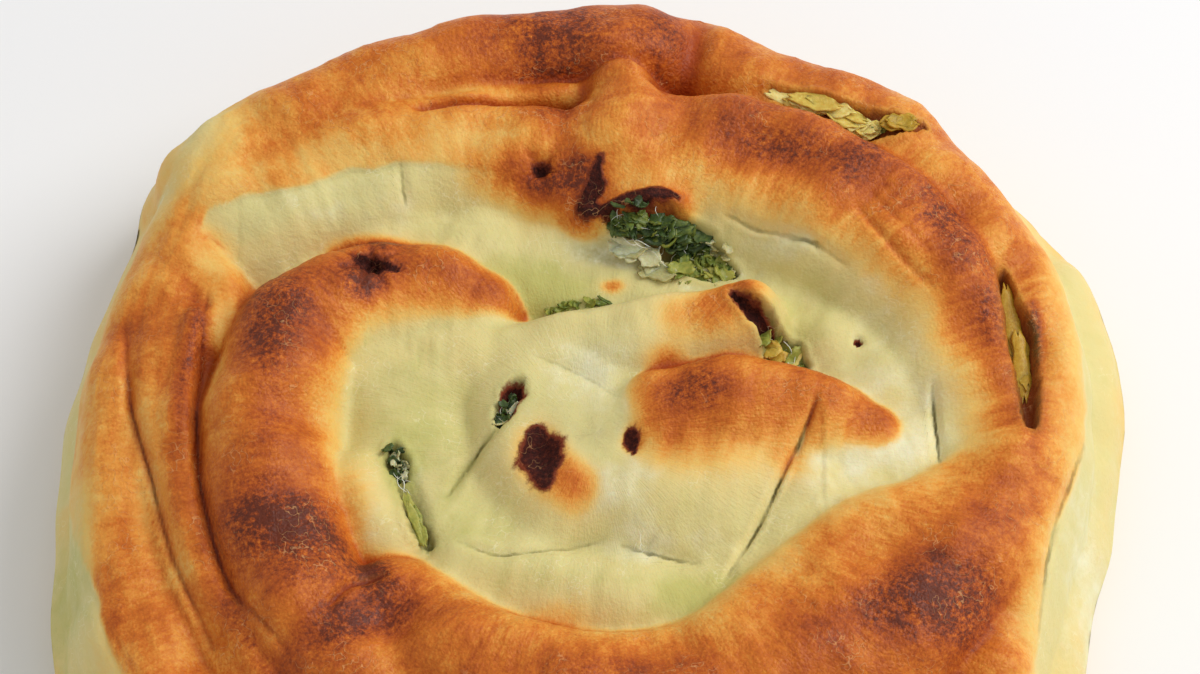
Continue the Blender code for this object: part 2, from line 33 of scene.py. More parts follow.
EDGE_LEVEL = 9.0        # height at which the side is widest
FOOT_ROUND = 5.5        # how far the side draws in to the resting face
OUTLINE_RADII = (46, 70)  # between which the outline is looked for
RIM_LEVELS = (6, 12)    # lowest and highest level of the widest line round the side
FLOOR_LEVEL = 17.0      # dough between the folds
FLOOR_RADIUS = 43.0
FLOOR_FALL = 3.0        # how steeply it drops beyond that
MID_LEVEL = 20.0        # heights go into the blend as measured from here
LOWEST_LEVEL = -10.0    # and as no lower than this
MARK_SHIFT = 97.0       # keeps the stretch marks of one fold unlike the next one's
BLEND = 1.0             # how softly neighbouring folds run together
ROUND_SHARE = 0.95      # share of a fold's half width that is round, the rest falls off straight
FADE = 1.6              # how late across a fold its crown's browning turns into its flank's
LUMP_HEIGHT = 0.3
LUMP_LENGTHS = (8.0, 17.0)
LUMP_WAVES = 14
LINE_REACH = 1.3        # how far from a sharp seam its line is kept track of
SIDE_SEAM_LEVEL = 14.0  # seam round the side, between the lowest turn and the one that lies on it
SIDE_SEAM_SWAY = 2.0
SIDE_SEAM_DEPTH = 0.8
SIDE_SEAM_HALF = 1.9
MEAN_RADIUS = 35.0      # at which the fine streaks of the skin have their true width
GRAIN_TURNS = -39.0     # to the left of this the fine lines run along the folds instead of across them
SEED = 5

BLISTERS = 420
BLISTER_SIZES = (0.7, 1.8)
BLISTER_HEIGHT = 0.1

TEAR_REACH = 6.0        # how far round a tear the skin is worked on
LIP_HEIGHT = 0.3        # raised lip round a tear
LIP_HALF = 0.35
SIDE_LEVELS = (12, 17)  # below the first the skin has the side's looks, above the second the upper side's
SIDE_SHARE = 0.85       # how far the side's own browning replaces the folds'
SIDE_STRETCH = 30.0     # length that the side's noises give to a radian
HOLLOW_PASSES = 8       # steps of smoothing that give the surroundings a hollow is measured against
# A hollow this deep gets the full painted shade.
HOLLOW_DEPTH = 0.5      # how deep a hollow has its full colour
CREVICE_STAIN = 0.8     # how far onion juice soaks in beside a seam
TEAR_STAIN = 1.0        # and beside a tear

# Noises of the skin, as (amount, cell size, seed).
SMALL_LUMPS = ((0.16, 3.3, 11), (0.07, 1.5, 12))
PEBBLES = ((0.07, 0.75, 15),)
WAVY_LAYER = ((0.35, 2.4, 16),)
RAGGED_TEAR = ((0.22, 0.8, 3), (0.2, 1.9, 4))
RAGGED_BURN = ((0.2, 0.8, 21), (0.32, 1.7, 22))
UNEVEN_SIDE = ((0.16, 9, 26), (0.1, 3, 27))
UNEVEN_BASE = ((0.14, 9, 28), (0.1, 3, 29))

# The skin is a grid on a ball, which is mapped to the dough: the upper side down to the first angle from the top,
# the rounded side down to the second, and the resting face below that.
GRID_CUTS = 126
TOP_POLAR = math.radians(146)
BASE_POLAR = math.radians(156)

# A fold of dough: how steeply it rounds off, its half width left and right of the path, the share of that width kept
# at both ends, how brown it is baked at the crown and at its left and right flanks (0 pale, 0.5 orange, 1 dark),
# and the path as (x, y, crown height).
Fold = namedtuple("Fold", "steepness left right start end bake path")

FOLDS = {
    # the outermost turn
    "rim left": Fold(0.95, 4.6, 4.8, 1.7, 1.1, (0.55, 0.32, 0.62), [
        (-41.5, -33, 23), (-47, -20, 23), (-50.4, -9, 22.6), (-51.6, 3, 22.4), (-50.8, 13, 22.4),
        (-46.7, 27, 23), (-40.8, 40.4, 25)]),
    "corner left": Fold(0.9, 2.6, 3.2, 1, 0.8, (0.3, 0.3, 0.5), [
        (-45, 27.5, 23), (-41, 22.5, 24), (-39.8, 15, 24)]),
    "rim back left": Fold(1.1, 7.2, 4.8, 0.88, 0.9, (0.6, 0.55, 0.55), [
        (-43.6, 38.2, 23.8), (-36, 42.9, 25.4), (-25.3, 47.5, 26.8), (-13, 51.8, 27.3), (6, 53.6, 27.6)]),
    "rim back right": Fold(1.1, 5.6, 4, 1.2, 0.9, (0.62, 0.5, 0.6), [
        (2, 53.4, 27.6), (11, 53, 26.4), (20, 48.6, 26.8), (27, 46, 27), (34.4, 43.3, 26.4), (39.8, 37, 25.6),
        (44.8, 29.6, 25)]),
    "rim right": Fold(1.1, 4.4, 3.6, 1.1, 1.1, (0.42, 0.22, 0.66), [
        (43.8, 31.6, 25), (48.3, 25, 25), (50.9, 15, 25.2), (51, 4, 26.4), (48, -7, 27), (45.6, -16, 25.6),
        (43.5, -25, 24.4)]),
    "rim front": Fold(1, 7.5, 7, 0.8, 0.7, (0.62, 0.6, 0.42), [
        (-50, -18, 22), (-43.5, -32, 23), (-30, -43.5, 24), (-10, -50, 25), (12, -49.5, 25.4), (31, -41, 25),
        (43.5, -26, 24.4)]),
    "strand left": Fold(0.75, 3.2, 3.8, 1.3, 1, (0.58, 0.6, 0.62), [
        (-32.5, -29.5, 24), (-36.3, -23.5, 24), (-41.5, -14, 24), (-45, -3, 24), (-46.8, 7, 24.3),
        (-46.5, 17, 23.8), (-43.5, 27, 22.6)]),
    "left band": Fold(0.7, 1.8, 2.2, 0.8, 0.7, (0.84, 0.7, 0.76), [
        (-33.5, -27.5, 24.6), (-39.6, -17, 24.6), (-43.6, -5, 24.6), (-44.6, 6, 24.8), (-43.4, 17, 24.6)]),
    # the second turn
    "ridge left": Fold(0.85, 6.2, 8.6, 0.9, 0.85, (0.68, 0.64, 0.22), [
        (-20, -34, 27), (-29.5, -21, 28.6), (-35, -6, 29), (-35.4, 7, 29.5), (-33, 15.5, 28.8), (-29, 19.5, 28)]),
    "arm left": Fold(0.75, 4.6, 7.6, 1, 0.7, (0.68, 0.56, 0.06), [
        (-33, 17, 28), (-26, 21.3, 27.2), (-18, 22.5, 26.6), (-12, 20.7, 25)]),
    "shelf back left": Fold(0.7, 4.6, 10, 1, 0.9, (0.5, 0.6, 0), [
        (-38.5, 34.5, 25), (-28, 38.8, 26.6), (-14, 41.6, 27.4), (0, 39, 28)]),
    "crescent": Fold(1, 1.6, 1.6, 0.9, 0.9, (0.1, 0.1, 0.1), [
        (-19, 45.2, 24.6), (-10, 46.8, 25), (0, 46.6, 25)]),
    "nose": Fold(0.8, 7, 7.5, 0.4, 1.2, (0.6, 0.56, 0.55), [
        (4, 46, 30.2), (4.4, 41.5, 31), (6.5, 35, 28.5)]),
    "curled lip": Fold(1, 0.9, 1.1, 0.8, 0.8, (0.9, 0.9, 0.9), [
        (0.2, 30.2, 26), (1.8, 29.8, 26.1), (3.6, 30.2, 27.2), (5.6, 30.4, 27.9), (8, 30.8, 28.3),
        (10.6, 30.6, 27.6)]),
    "burnt fold": Fold(0.7, 3.8, 3.8, 1, 0.8, (0.8, 0.7, 0.62), [
        (-2, 38.5, 27), (-1.2, 34.5, 26), (0.6, 31, 24.6)]),
    "ridge right": Fold(0.72, 4.4, 13, 1.1, 0.6, (0.66, 0.74, -0.1), [
        (8, 41, 29), (20, 39, 30), (31.5, 33, 30.4), (40.5, 24, 28.8), (44.6, 12.5, 27), (47, -1, 27)]),
    "shoulder right": Fold(0.62, 4.5, 5.5, 0.9, 0.9, (0.36, 0.3, 0.5), [
        (36.5, 38, 26.2), (40.8, 33, 26.2), (44.4, 27, 25.8)]),
    "ridge front": Fold(0.72, 12.5, 9.6, 0.35, 0.56, (0.66, 0.62, 0.42), [
        (48, -2, 27), (39, -14, 29.6), (26, -24.5, 30.6), (8, -31, 31), (-8, -27.8, 30.4), (-20, -18, 26.8)]),
    "front flank": Fold(0.72, 8, 7.6, 0.7, 0.8, (0.52, 0.54, 0.3), [
        (45, -3, 27), (38.6, -9.2, 28.6), (32, -12.8, 29.2), (24, -18.6, 29.4), (15.5, -25.4, 29.4)]),
    # the centre
    "centre back": Fold(0.8, 2.7, 9, 1.1, 0.6, (0.06, 0.04, 0), [
        (-22, 14, 23), (-8, 14.6, 24.8), (6, 16.6, 27), (17.5, 18.8, 28)]),
    "centre ridge": Fold(0.8, 3.2, 10.5, 0.8, 0.6, (0.66, 0.66, 0), [
        (9, 7.2, 27.6), (17, 7.8, 29), (26, 5.9, 28), (31, 4, 26)]),
    "centre dome": Fold(0.42, 8, 13, 0.9, 0.6, (0, 0, 0), [
        (-1, 3, 25.4), (8, 1, 26.6), (16, -1, 27), (21, -3, 26)]),
    "centre lobe": Fold(0.7, 7, 8, 0.8, 1, (0, 0, 0), [
        (-7, 7, 25), (-4, -1, 25.5), (4, -4.4, 25.5), (13, -6, 25)]),
    "inner fold right": Fold(0.7, 5, 6, 1, 0.9, (0.03, 0, 0), [
        (24, -7, 25), (31, -2, 25), (37.5, 1, 24.5)]),
    "inner fold front": Fold(0.7, 5, 5.5, 0.9, 0.9, (0.03, 0, 0), [
        (-13, -14, 23.6), (1, -16.4, 24.6), (15, -15.5, 24.2), (26, -8, 24)]),
    "plateau": Fold(0.5, 9, 10, 1, 0.7, (0, 0.04, 0), [
        (-20.5, 13, 23.2), (-19, 0, 23), (-12, -7, 22.8), (4, -11, 23)]),
    "front left lobe": Fold(0.8, 4, 4.2, 1, 0.9, (0.06, 0.2, 0), [
        (-25.5, -3, 24.5), (-21.5, -9.5, 24.5)]),
    # the pale layers between the turns
    "inner back": Fold(0.6, 7, 7, 1.1, 0.7, (0, 0, 0), [
        (-18, 29, 22.6), (-6, 27, 22.6), (4, 24.5, 22.2), (13, 22.8, 21.8)]),
    "inner right": Fold(0.6, 8, 8.6, 0.9, 1, (0, 0, 0), [
        (19, 25.5, 22.4), (28.5, 19, 23), (34.5, 8, 23.6)]),
    "valley back left": Fold(0.6, 6.5, 7, 1, 1, (0, 0, 0), [
        (-36, 30, 22), (-25, 32, 22.5), (-12, 31, 22.5)]),
    # the lowest turn, which shows below the rim
    "base right": Fold(1, 6, 7, 1, 1, (0.04, 0.02, 0.1), [
        (43, 35.5, 14.6), (50.6, 29.6, 15.6), (53.8, 21.5, 16.4), (54.5, 11, 16.6), (51.4, -3, 16.2),
        (49.2, -14, 16), (47, -25, 15), (36, -38, 14)]),
    "base left": Fold(1, 6, 7, 1, 1, (0.1, 0.04, 0.2), [
        (-43.5, -34, 14), (-51.9, -20.5, 15), (-53, -7, 14.4), (-48.8, 10, 13), (-40.6, 28.4, 13)]),
}

# A seam between folds: depth, half width, path.
SEAMS = {
    "left line": (1.1, 0.55, [(-51.6, 18), (-50.4, 7.5), (-47.8, -1.5), (-44.6, -12.5), (-39.6, -23.3)]),
    "left groove": (1.2, 0.5, [
        (-42.3, 21), (-42.6, 12), (-42.8, 5), (-42, -4), (-38.2, -16.4), (-31.4, -25.2)]),
    "centre crease": (1.3, 0.42, [
        (25.5, 5.2), (23.5, 0.8), (21.2, -4.1), (19.5, -7.8), (17.3, -11.7), (15.1, -15.4)]),
    "right hair": (1, 0.4, [(38.3, 8.5), (38.8, -2)]),
    "smile left": (0.8, 0.42, [(-14.2, -10.2), (-9.2, -12.2), (-2.7, -11.1), (2.2, -10.2)]),
    "smile right": (0.8, 0.42, [(3.8, -11), (8.1, -12.1), (12.6, -13.2)]),
    "centre left": (1.1, 0.45, [(-9.3, 3.2), (-11.6, 1.1), (-13.6, -1.6), (-15, -4.4)]),
    "tuft": (0.9, 0.7, [(-21, 2), (-18.5, -5), (-16.5, -11)]),
    "front overlap": (1.1, 0.55, [(-27.6, -20.8), (-25.1, -17.4), (-21, -15.8)]),
    "slit right": (1.7, 0.7, [(46.4, 23), (47.5, 13), (48.8, 0)]),
    "tongue": (1.3, 0.8, [(16, 20), (18.9, 16.6), (22, 13)]),
    "rim right": (0.7, 0.9, [(11, 46), (20, 46), (36, 41)]),
    "slit back": (2.2, 0.7, [(-20, 43.6), (-10, 44.8), (1, 44.4)]),
    "dimple back": (2, 1.7, [(14, 58), (12.4, 52), (11, 45)]),
    "ridge": (0.5, 0.45, [(30, 29.5), (33.8, 24), (39, 19)]),
    "ridge wrinkle": (0.3, 0.4, [(31.5, 31), (36, 25.5), (38.5, 23)]),
    "valley": (0.7, 0.45, [(15.5, 29.4), (18.6, 27.9), (21.9, 26.8), (25.7, 25.3), (29.5, 22.4)]),
    "valley crack": (0.5, 0.4, [(-21, 36.5), (-20.7, 34), (-20.3, 32)]),
    "base right": (0.7, 0.45, [(55, 2), (52.8, -4), (51, -9), (49.8, -14), (48.8, -21)]),
    "centre fan": (0.4, 0.5, [(-6, 12), (0, 9.5), (4, 6)]),
    "fan upper": (0.35, 0.5, [(-2, 14), (3, 11), (8, 10)]),
}

# The edge of a layer that lies on another: how far the surface drops on the right of the path, over what distance it
# comes back up, how brown the lower layer is and how far from the edge, and the path.
LAYERS = {
    "shelf": (0.5, 2.5, 0, 7, [
        (-43.6, 28.6), (-42.3, 31.4), (-38, 32.8), (-32.3, 33.9), (-26.7, 35.7), (-21.1, 36.3), (-14, 36),
        (-8, 34.2)]),
    "valley": (0.5, 1.6, 0, 4, [(15.5, 28.6), (19, 27.2), (21.9, 26.6), (25.2, 25.6), (27.6, 23.2)]),
    "base right": (0.6, 1.6, 0.02, 9, [
        (45.5, -32), (48.7, -22.5), (49.6, -15.9), (50.6, -10.6), (52.4, -6), (55, 1.8), (55.4, 9.6),
        (55, 17.4), (53.2, 26.9)]),
    "base left": (0.5, 1.6, 0.05, 7, [
        (-58.2, 8), (-57.6, -1), (-56, -9), (-53.2, -15), (-51, -22), (-47, -31)]),
    "nose": (0.7, 1.8, 0.45, 1.5, [(5.2, 48), (1.8, 44.6), (0.4, 40.5), (0.4, 37)]),
    "centre crease": (0.9, 2.5, 0, 0.5, [(13.5, -17), (18.9, -9.9), (22.6, -2), (24.6, 5)]),
    "centre": (0.5, 1.6, 0, 3, [(16, 19.9), (8, 18.9), (0, 17.4), (-8, 16.2), (-14, 15.4)]),
}

# How dark the painted shade line at the bottom of a seam is, where it is thin and sharp.
SEAM_SHADE_LINES = {
    "centre crease": 1, "centre left": 0.9, "smile left": 0.5, "smile right": 0.6, "right hair": 0.9,
    "tuft": 0.4, "valley": 0.7, "valley crack": 0.7, "base right": 0.7, "left line": 0.6, "front overlap": 0.6,
    "left groove": 0.7, "centre fan": 0.25,
}

# A tear: how deep it is, and its path as (x, y, half width).
TEARS = {
    "main": (1.4, [
        (2.4, 29, 0.4), (5.3, 28.4, 1.1), (8.5, 28.1, 1.6), (11, 26.9, 2.2), (13.2, 25.7, 2.1),
        (15, 24.8, 1.5), (16.4, 24.4, 0.6)]),
    "tongue": (1.8, [
        (16.4, 18.2, 0.3), (17.8, 16.9, 0.9), (19.4, 15.9, 1.1), (20.9, 15.2, 0.8), (21.9, 14.9, 0.3)]),
    "beside tongue": (1.3, [(19.8, 14.7, 0.7), (21.2, 14.2, 1.5), (22.8, 13.5, 1.5), (24.3, 12.3, 0.6)]),
    "rim": (0.8, [
        (21.4, 46, 0.2), (24, 45.1, 0.7), (28.6, 42.8, 1.4), (32.2, 41.6, 1.6), (35.6, 41.3, 1.1),
        (38.4, 41.7, 0.3)]),
    "slit right": (1.4, [
        (46.6, 22.4, 0.2), (47.5, 18.5, 0.8), (48.3, 14, 1.2), (48.8, 8, 0.9), (48.7, 2, 0.3)]),
    "centre left": (1.6, [
        (-7.4, 8.4, 0.4), (-7.8, 7.2, 1.2), (-8.2, 6, 0.6), (-9.1, 4.6, 0.8), (-9.4, 3.2, 0.2)]),
    "tuft": (1, [(-21.2, 1, 0.5), (-20.7, -0.4, 1.2), (-20.2, -2, 0.6)]),
    "tuft leaf": (0.7, [(-20.2, -3, 0.2), (-19.3, -5.6, 0.5), (-18.4, -8.2, 0.65), (-17, -10.6, 0.3)]),
}

# A small pit: x, y, half width along x and along y, depth, and how many creases run out of it.
PITS = {
    "burnt": (-5, -0.6, 2, 2.9, 2, 0),
    "spot": (5, 0.6, 0.9, 1.1, 1, 0),
    "pinch": (-24, 22.8, 1.2, 1, 2.2, 7),
    "back": (-5, 35.4, 0.9, 0.9, 2, 5),
    "right": (30.4, 14.9, 0.5, 0.5, 1.2, 0),
    "tuft spot": (6.8, -11, 0.7, 0.6, 0.9, 5),
    "dent in the left ridge": (-31.5, 3.5, 4, 3.5, 0.8, 0),
    "dent in the front ridge": (8, -27.5, 6, 3, 0.6, 0),
    "dent in the right ridge": (23, 33, 5, 3, 0.5, 0),
    "dent below the nose": (9, 37, 3, 2.4, 0.7, 0),
}

# Places baked darker or left paler than their fold, some as painted shade: x, y, half widths along x and y, amount.
BAKED_AND_SHADE_PATCHES = [
    # the centre
    (14.5, 1, 5.5, 3.2, 0.3), (5, 0.8, 1.2, 1.4, 0.5), (7, 2, 4, 4, 0.3), (18, 8.6, 4, 1.6, -0.1),
    (11, 5.5, 5, 3.4, 0.3), (18, 17, 3, 4, 0.25), (8.6, 8.6, 3, 2, -0.15), (17, 19.4, 3.2, 1.6, 0.34),
    (13, 16, 4.5, 3.2, 0.5), (8.8, 11, 2.6, 1.6, 0.45), (2, 5, 4, 6, -0.4), (3, 22.5, 1.4, 0.9, 0.6),
    (-5, -0.6, 3, 4, 0.55), (-25.6, -5.6, 2.6, 5, 0.3), (-1.2, -4.5, 3, 3.4, 0.55),
    (-3.4, -19.6, 5, 2.2, 0.3), (13, -2.5, 7.5, 4, 0.24), (23.4, -3, 3.5, 2.5, 0.1),
    (22.3, -1.6, 2.2, 2.4, 0.22),
    # the second turn, back
    (24.5, 31, 8, 3, 0.1), (24, 36, 9, 3, 0.16), (19.6, 36.3, 4, 3, 0.1), (15, 41, 6, 4, 0.06),
    (6, 32.4, 3.5, 1.8, -0.12), (3.5, 27, 5, 1.9, -0.5), (2, 37.2, 4, 3.4, -0.2), (0, 34, 2.6, 3, 0.3),
    (-2, 33.4, 3.6, 3.6, 0.22), (-4, 42.3, 5, 2.4, 0.18), (-5.5, 33, 3, 2.6, 0.35),
    (-9.5, 34.6, 4.6, 2.6, 0.42), (-15, 39.5, 7, 3, -0.15), (-22, 27.2, 5, 1.6, 0.3),
    (-26, 27.4, 3.6, 1.5, 0.4),
    # the second turn, left
    (-24, 22, 3, 3, 0.25), (-24.6, 19.2, 1.8, 2.2, 0.4), (-39.4, 22.4, 2.6, 3, 0.16),
    (-36, 16.6, 2.4, 3, -0.14), (-27.5, 12, 2.6, 4, 0.14), (-35, 15, 4.5, 6, 0.4), (-39, 12, 2.4, 6, -0.14),
    (-41, 7, 1.6, 7, -0.16), (-33, 4, 3, 3, 0.1), (-31.2, -1.6, 3.4, 3.4, 0.12), (-29.5, -9.5, 3.5, 3.5, 0.22),
    (-43, -14, 2.6, 7, -0.22), (-33, -11, 7, 3.5, 0.36), (-25.5, -14, 3.5, 4, 0.12), (-30, -17, 5, 3, 0.12),
    (-24, -14.5, 3.5, 3, 0.3), (-24, -20, 5, 4, 0.2), (-24, -22.4, 4, 3, 0.16),
    # the second turn, front
    (-14, -26.5, 5, 4, -0.08), (3, -30, 9, 4, 0.1),
    # the second turn, right
    (36.5, 4, 3, 6, 0.06), (44.1, 5.5, 2.6, 6, -0.16), (41, 6, 3.5, 6, -0.12), (38.4, 17.4, 2.6, 5, -0.16),
    (33, 29, 7, 5, 0.08), (33, 30.6, 4, 3, -0.06), (36, -20.5, 8, 4.5, 0.24), (39.5, -21, 6, 5, 0.14),
    # the outermost turn, back
    (37, 44, 4, 3, -0.12), (30.2, 45.8, 5, 3, 0.08), (28, 45.6, 6, 2, -0.16), (16, 45.6, 5, 2.4, -0.2),
    (8.5, 54, 3, 6, 0.22), (-3, 54, 9, 6, 0.4), (-4.5, 47, 3.8, 2.2, 0.5), (-11, 47.5, 4, 1.4, 0.24),
    (-18, 49.7, 6, 3, -0.1), (-29, 37.5, 6, 3, -0.13), (-40, 46, 7, 4, -0.1),
    # the outermost turn, left
    (-46, 41, 8, 9, -0.36), (-41, 24, 2, 4, -0.05), (-47.7, 21.1, 2.5, 5, -0.08), (-51.5, 17, 2.5, 4, 0.15),
    (-49, 5, 2.6, 7, -0.14), (-54, -4.6, 3, 5, -0.08), (-47.4, -5, 2.4, 6, -0.2), (-56, -12, 4, 7, -0.15),
    (-50, -18, 3, 4, 0.14), (-44, -17, 4, 5, 0.12),
    # the outermost turn, front
    (-40, -40, 6, 5, 0.15), (-12, -48, 9, 5, 0.2), (18, -47, 8, 5, 0.22),
    # the outermost turn, right
    (49, 4.5, 1.2, 4, 0.3), (49.3, 13, 1.4, 9, 0.2), (49.9, 14.5, 0.9, 5, 0.4), (45, 15, 2, 6, 0.15),
    (46, 25, 2.5, 3, 0.1), (50, 28, 3, 5, 0.14), (50, 33, 6, 7, -0.05), (41, 27.5, 3.5, 6, 0.2),
    (45.4, 33.4, 5, 4, 0.12), (40, -33, 6, 5, 0.12), (44, -16, 3.4, 4, 0.1), (46, -14, 3, 8, -0.1),
    (45.5, -10, 3.4, 5, 0.12),
]

# Places burnt nearly black, as paths of (x, y, half width).
BURNT_PLACES = {
    "centre": [(-5.3, 1.7, 0.9), (-5, 0.4, 1.8), (-4.8, -1.8, 1.9), (-4.4, -4, 1.1)],
    "spot": [(5.1, 1.4, 0.6), (5.1, 0.5, 0.7), (5.2, -0.8, 0.25)],
    "tongue": [(16.4, 18.4, 0.4), (17.4, 17.2, 0.9), (18.8, 16.2, 1), (20.2, 15.5, 0.8), (21.2, 15.2, 0.3)],
    "pinch": [(-25.2, 23.2, 0.7), (-24, 22.9, 1), (-21.2, 22.2, 0.4)],
    "back pit": [(-5.2, 35.5, 0.7), (-4.7, 35.4, 0.7)],
    "right dot": [(30.3, 15, 0.3), (30.6, 14.6, 0.25)],
    "curled lip": [
        (1.7, 35.6, 0.3), (1.2, 34.2, 0.7), (0.9, 32.6, 1), (0.2, 30.8, 1), (1.8, 29.9, 0.7),
        (3.6, 30.3, 0.7), (5.6, 30.4, 0.8), (8, 30.8, 0.8), (10.4, 30.6, 0.3)],
    "centre left": [(-7.5, 7.8, 0.7), (-7.9, 7, 1), (-8.5, 5.2, 0.8), (-9, 3.6, 0.4)],
}

# Where the thin dough looks whiter (+) or greener (-), some as painted shade: x, y, half widths along x and y,
# amount.
MILKY_AND_SHADE_PATCHES = [
    # the centre
    (2, 7, 6, 6, 0.3), (0.5, 11, 4, 3, 0.3), (-4, 24, 7, 4, -0.5), (-2, 10.5, 5, 3, 0.2), (-6, 23, 7, 3, -0.5),
    (-8, 21, 7, 3, -0.7), (-18, 3, 8, 9, -0.6), (-10.6, -0.6, 2, 4, 0.5), (-19.8, -2.5, 2.2, 3.6, -0.9),
    (-25.4, -4, 2, 4, -0.5), (-18, -4, 2, 3, 0.4), (-24, -7, 3, 5, 0.6), (-12, -8.4, 5, 4, -0.5),
    (-3, -15, 12, 3, -0.3), (6.5, -11, 4, 3, 0.7), (12, -18, 6, 3, -0.5), (4, -6, 4.6, 4, 0.7),
    (13, -17, 6, 4, -0.5), (8, -8, 7, 2.5, -0.5), (13.7, -10.6, 4, 3, 0.4),
    # the second turn, back
    (22, 25.8, 6, 2.6, 0.5), (0, 27, 6, 3, 0.5), (-28, 31, 12, 4, 0.2),
    # the second turn, right
    (34, 0.4, 4, 3, 0.6), (33, 2, 3, 5, -0.2), (38.6, 5.6, 2.6, 6, 0.35), (30, 8, 6, 6, 0.4),
    (32, 19.5, 4, 5, 0.4), (25, 18, 6, 6, -0.5), (28, -2, 9, 6, 0.45),
    # the outermost turn, left
    (-57, -12, 4, 10, -0.7),
    # the outermost turn, right
    (52.4, 4, 2, 7, -0.6), (55, 14, 4, 10, -0.1), (56, -12, 4, 12, 0.6),
]

# Places where onion shows through the thin, moist dough: x, y, half width along x and along y, amount.
GLASSY_PATCHES = [
    (0.3, 26.6, 3.4, 1.4, 0.75), (5, 26, 3.2, 1.7, 1), (7.6, 24, 1.6, 1.2, 0.8),
    (11.8, 22.3, 2.4, 0.8, 0.7), (17.2, 24, 1.4, 1.4, 0.7), (-6.5, 4.6, 1.2, 1.6, 0.5),
    (-18.6, -1.6, 1.4, 3, 0.5), (25.2, 11.6, 1.4, 2.2, 0.5),
]


# Paths and noises

def smooth_path(points, steps=6):
    """Curve that passes through the points, as rows of the same numbers that a point has."""
    p = np.asarray(points, float)
    p = np.vstack([2 * p[0] - p[1], p, 2 * p[-1] - p[-2]])
    t = np.linspace(0, 1, steps, endpoint=False)[:, None]
    spans = []
    for a, b, c, d in zip(p, p[1:], p[2:], p[3:]):
        bend = 2 * a - 5 * b + 4 * c - d
        twist = d - a + 3 * (b - c)
        spans.append(b + 0.5 * ((c - a) * t + bend * t**2 + twist * t**3))
    return np.vstack(spans + [p[-2][None]])


def along(x, y, path):
    """Distance from each place to the path, the side it is on (+1 left, -1 right), and the share of the way along."""
    nearest = np.full(x.shape, np.inf)
    side = np.zeros(x.shape)
    where = np.zeros(x.shape)
    for i, (a, b) in enumerate(zip(path[:, :2], path[1:, :2])):
        ex, ey = b - a
        s = np.clip(((x - a[0]) * ex + (y - a[1]) * ey) / (ex * ex + ey * ey), 0, 1)
        dx = x - a[0] - s * ex
        dy = y - a[1] - s * ey
        closer = dx * dx + dy * dy < nearest
        nearest[closer] = (dx * dx + dy * dy)[closer]
        side[closer] = ((ex * dy - ey * dx) / math.hypot(ex, ey))[closer]
        where[closer] = (i + s)[closer]
    distance = np.sqrt(nearest)
    return distance, side / np.maximum(distance, 1e-6), where / (len(path) - 1)


def reach_to(x, y, points):
    """Distance from each place to a path of (x, y, half width), and the half width at the nearest point of it."""
    path = smooth_path(points)
    distance, _, share = along(x, y, path)
    return distance, np.interp(share, np.linspace(0, 1, len(path)), path[:, 2])


def close_to(x, y, points, reach):
    p = np.asarray(points)
    inside_x = (x > p[:, 0].min() - reach) & (x < p[:, 0].max() + reach)
    inside_y = (y > p[:, 1].min() - reach) & (y < p[:, 1].max() + reach)
    return inside_x & inside_y


def beside(x, y, points, reach):
    """Which places are close to the path, and for those the distance, the side and the share of the way along."""
    near = close_to(x, y, points, reach)
    return near, *along(x[near], y[near], smooth_path(points))


def smoothstep(low, high, value):
    t = np.clip((value - low) / (high - low), 0, 1)
    return t * t * (3 - 2 * t)


def lattice_noise(x, y, size, seed):
    """Smooth noise from -1 to 1 with cells of the given size."""
    cells = 256
    values = np.random.default_rng(seed).uniform(-1, 1, (cells, cells))
    u, v = x / size, y / size
    i, j = np.floor(u).astype(int), np.floor(v).astype(int)
    fu, fv = u - i, v - j
    fu, fv = fu * fu * (3 - 2 * fu), fv * fv * (3 - 2 * fv)
    i0, i1, j0, j1 = i % cells, (i + 1) % cells, j % cells, (j + 1) % cells
    low = values[i0, j0] * (1 - fu) + values[i1, j0] * fu
    high = values[i0, j1] * (1 - fu) + values[i1, j1] * fu
    return low * (1 - fv) + high * fv


def noise_sum(x, y, layers):
    return sum(amount * lattice_noise(x, y, size, seed) for amount, size, seed in layers)


# Meshes and objects

def store(mesh, name, values):
    attribute = mesh.attributes.new(name, "FLOAT", "POINT")
    attribute.data.foreach_set("value", np.ascontiguousarray(values, np.float32))


def mesh_of(bm, name):
    mesh = bpy.data.meshes.new(name)
    bm.to_mesh(mesh)
    bm.free()
    return mesh


def add_object(name, data):
    obj = bpy.data.objects.new(name, data)
    bpy.context.scene.collection.objects.link(obj)
    return obj


def add_piece(name, mesh, material, node):
    mesh.materials.append(material)
    piece = add_object(name, mesh)
    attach(piece, "root")
    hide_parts(node)


# Form of the dough

def fold_shape(x, y, fold):
    """Height of one fold at each place, how far across its half width the place lies, and how far along in mm."""
    path = smooth_path(fold.path)
    distance, side, share = along(x, y, path)
    crown = np.interp(share, np.linspace(0, 1, len(path)), path[:, 2])
    width = fold.right + (fold.left - fold.right) * (0.5 + 0.5 * side)
    width = width * np.interp(share, [0, 0.5, 1], [fold.start, 1, fold.end])
    t = distance / width
    t_round = np.minimum(t, ROUND_SHARE)
    slope = ROUND_SHARE / math.sqrt(1 - ROUND_SHARE**2)
    z = crown - fold.steepness * width * (1 - np.sqrt(1 - t_round**2) + slope * (t - t_round))
    length = np.linalg.norm(np.diff(path[:, :2], axis=0), axis=1).sum()
    return z, t * side, share * length


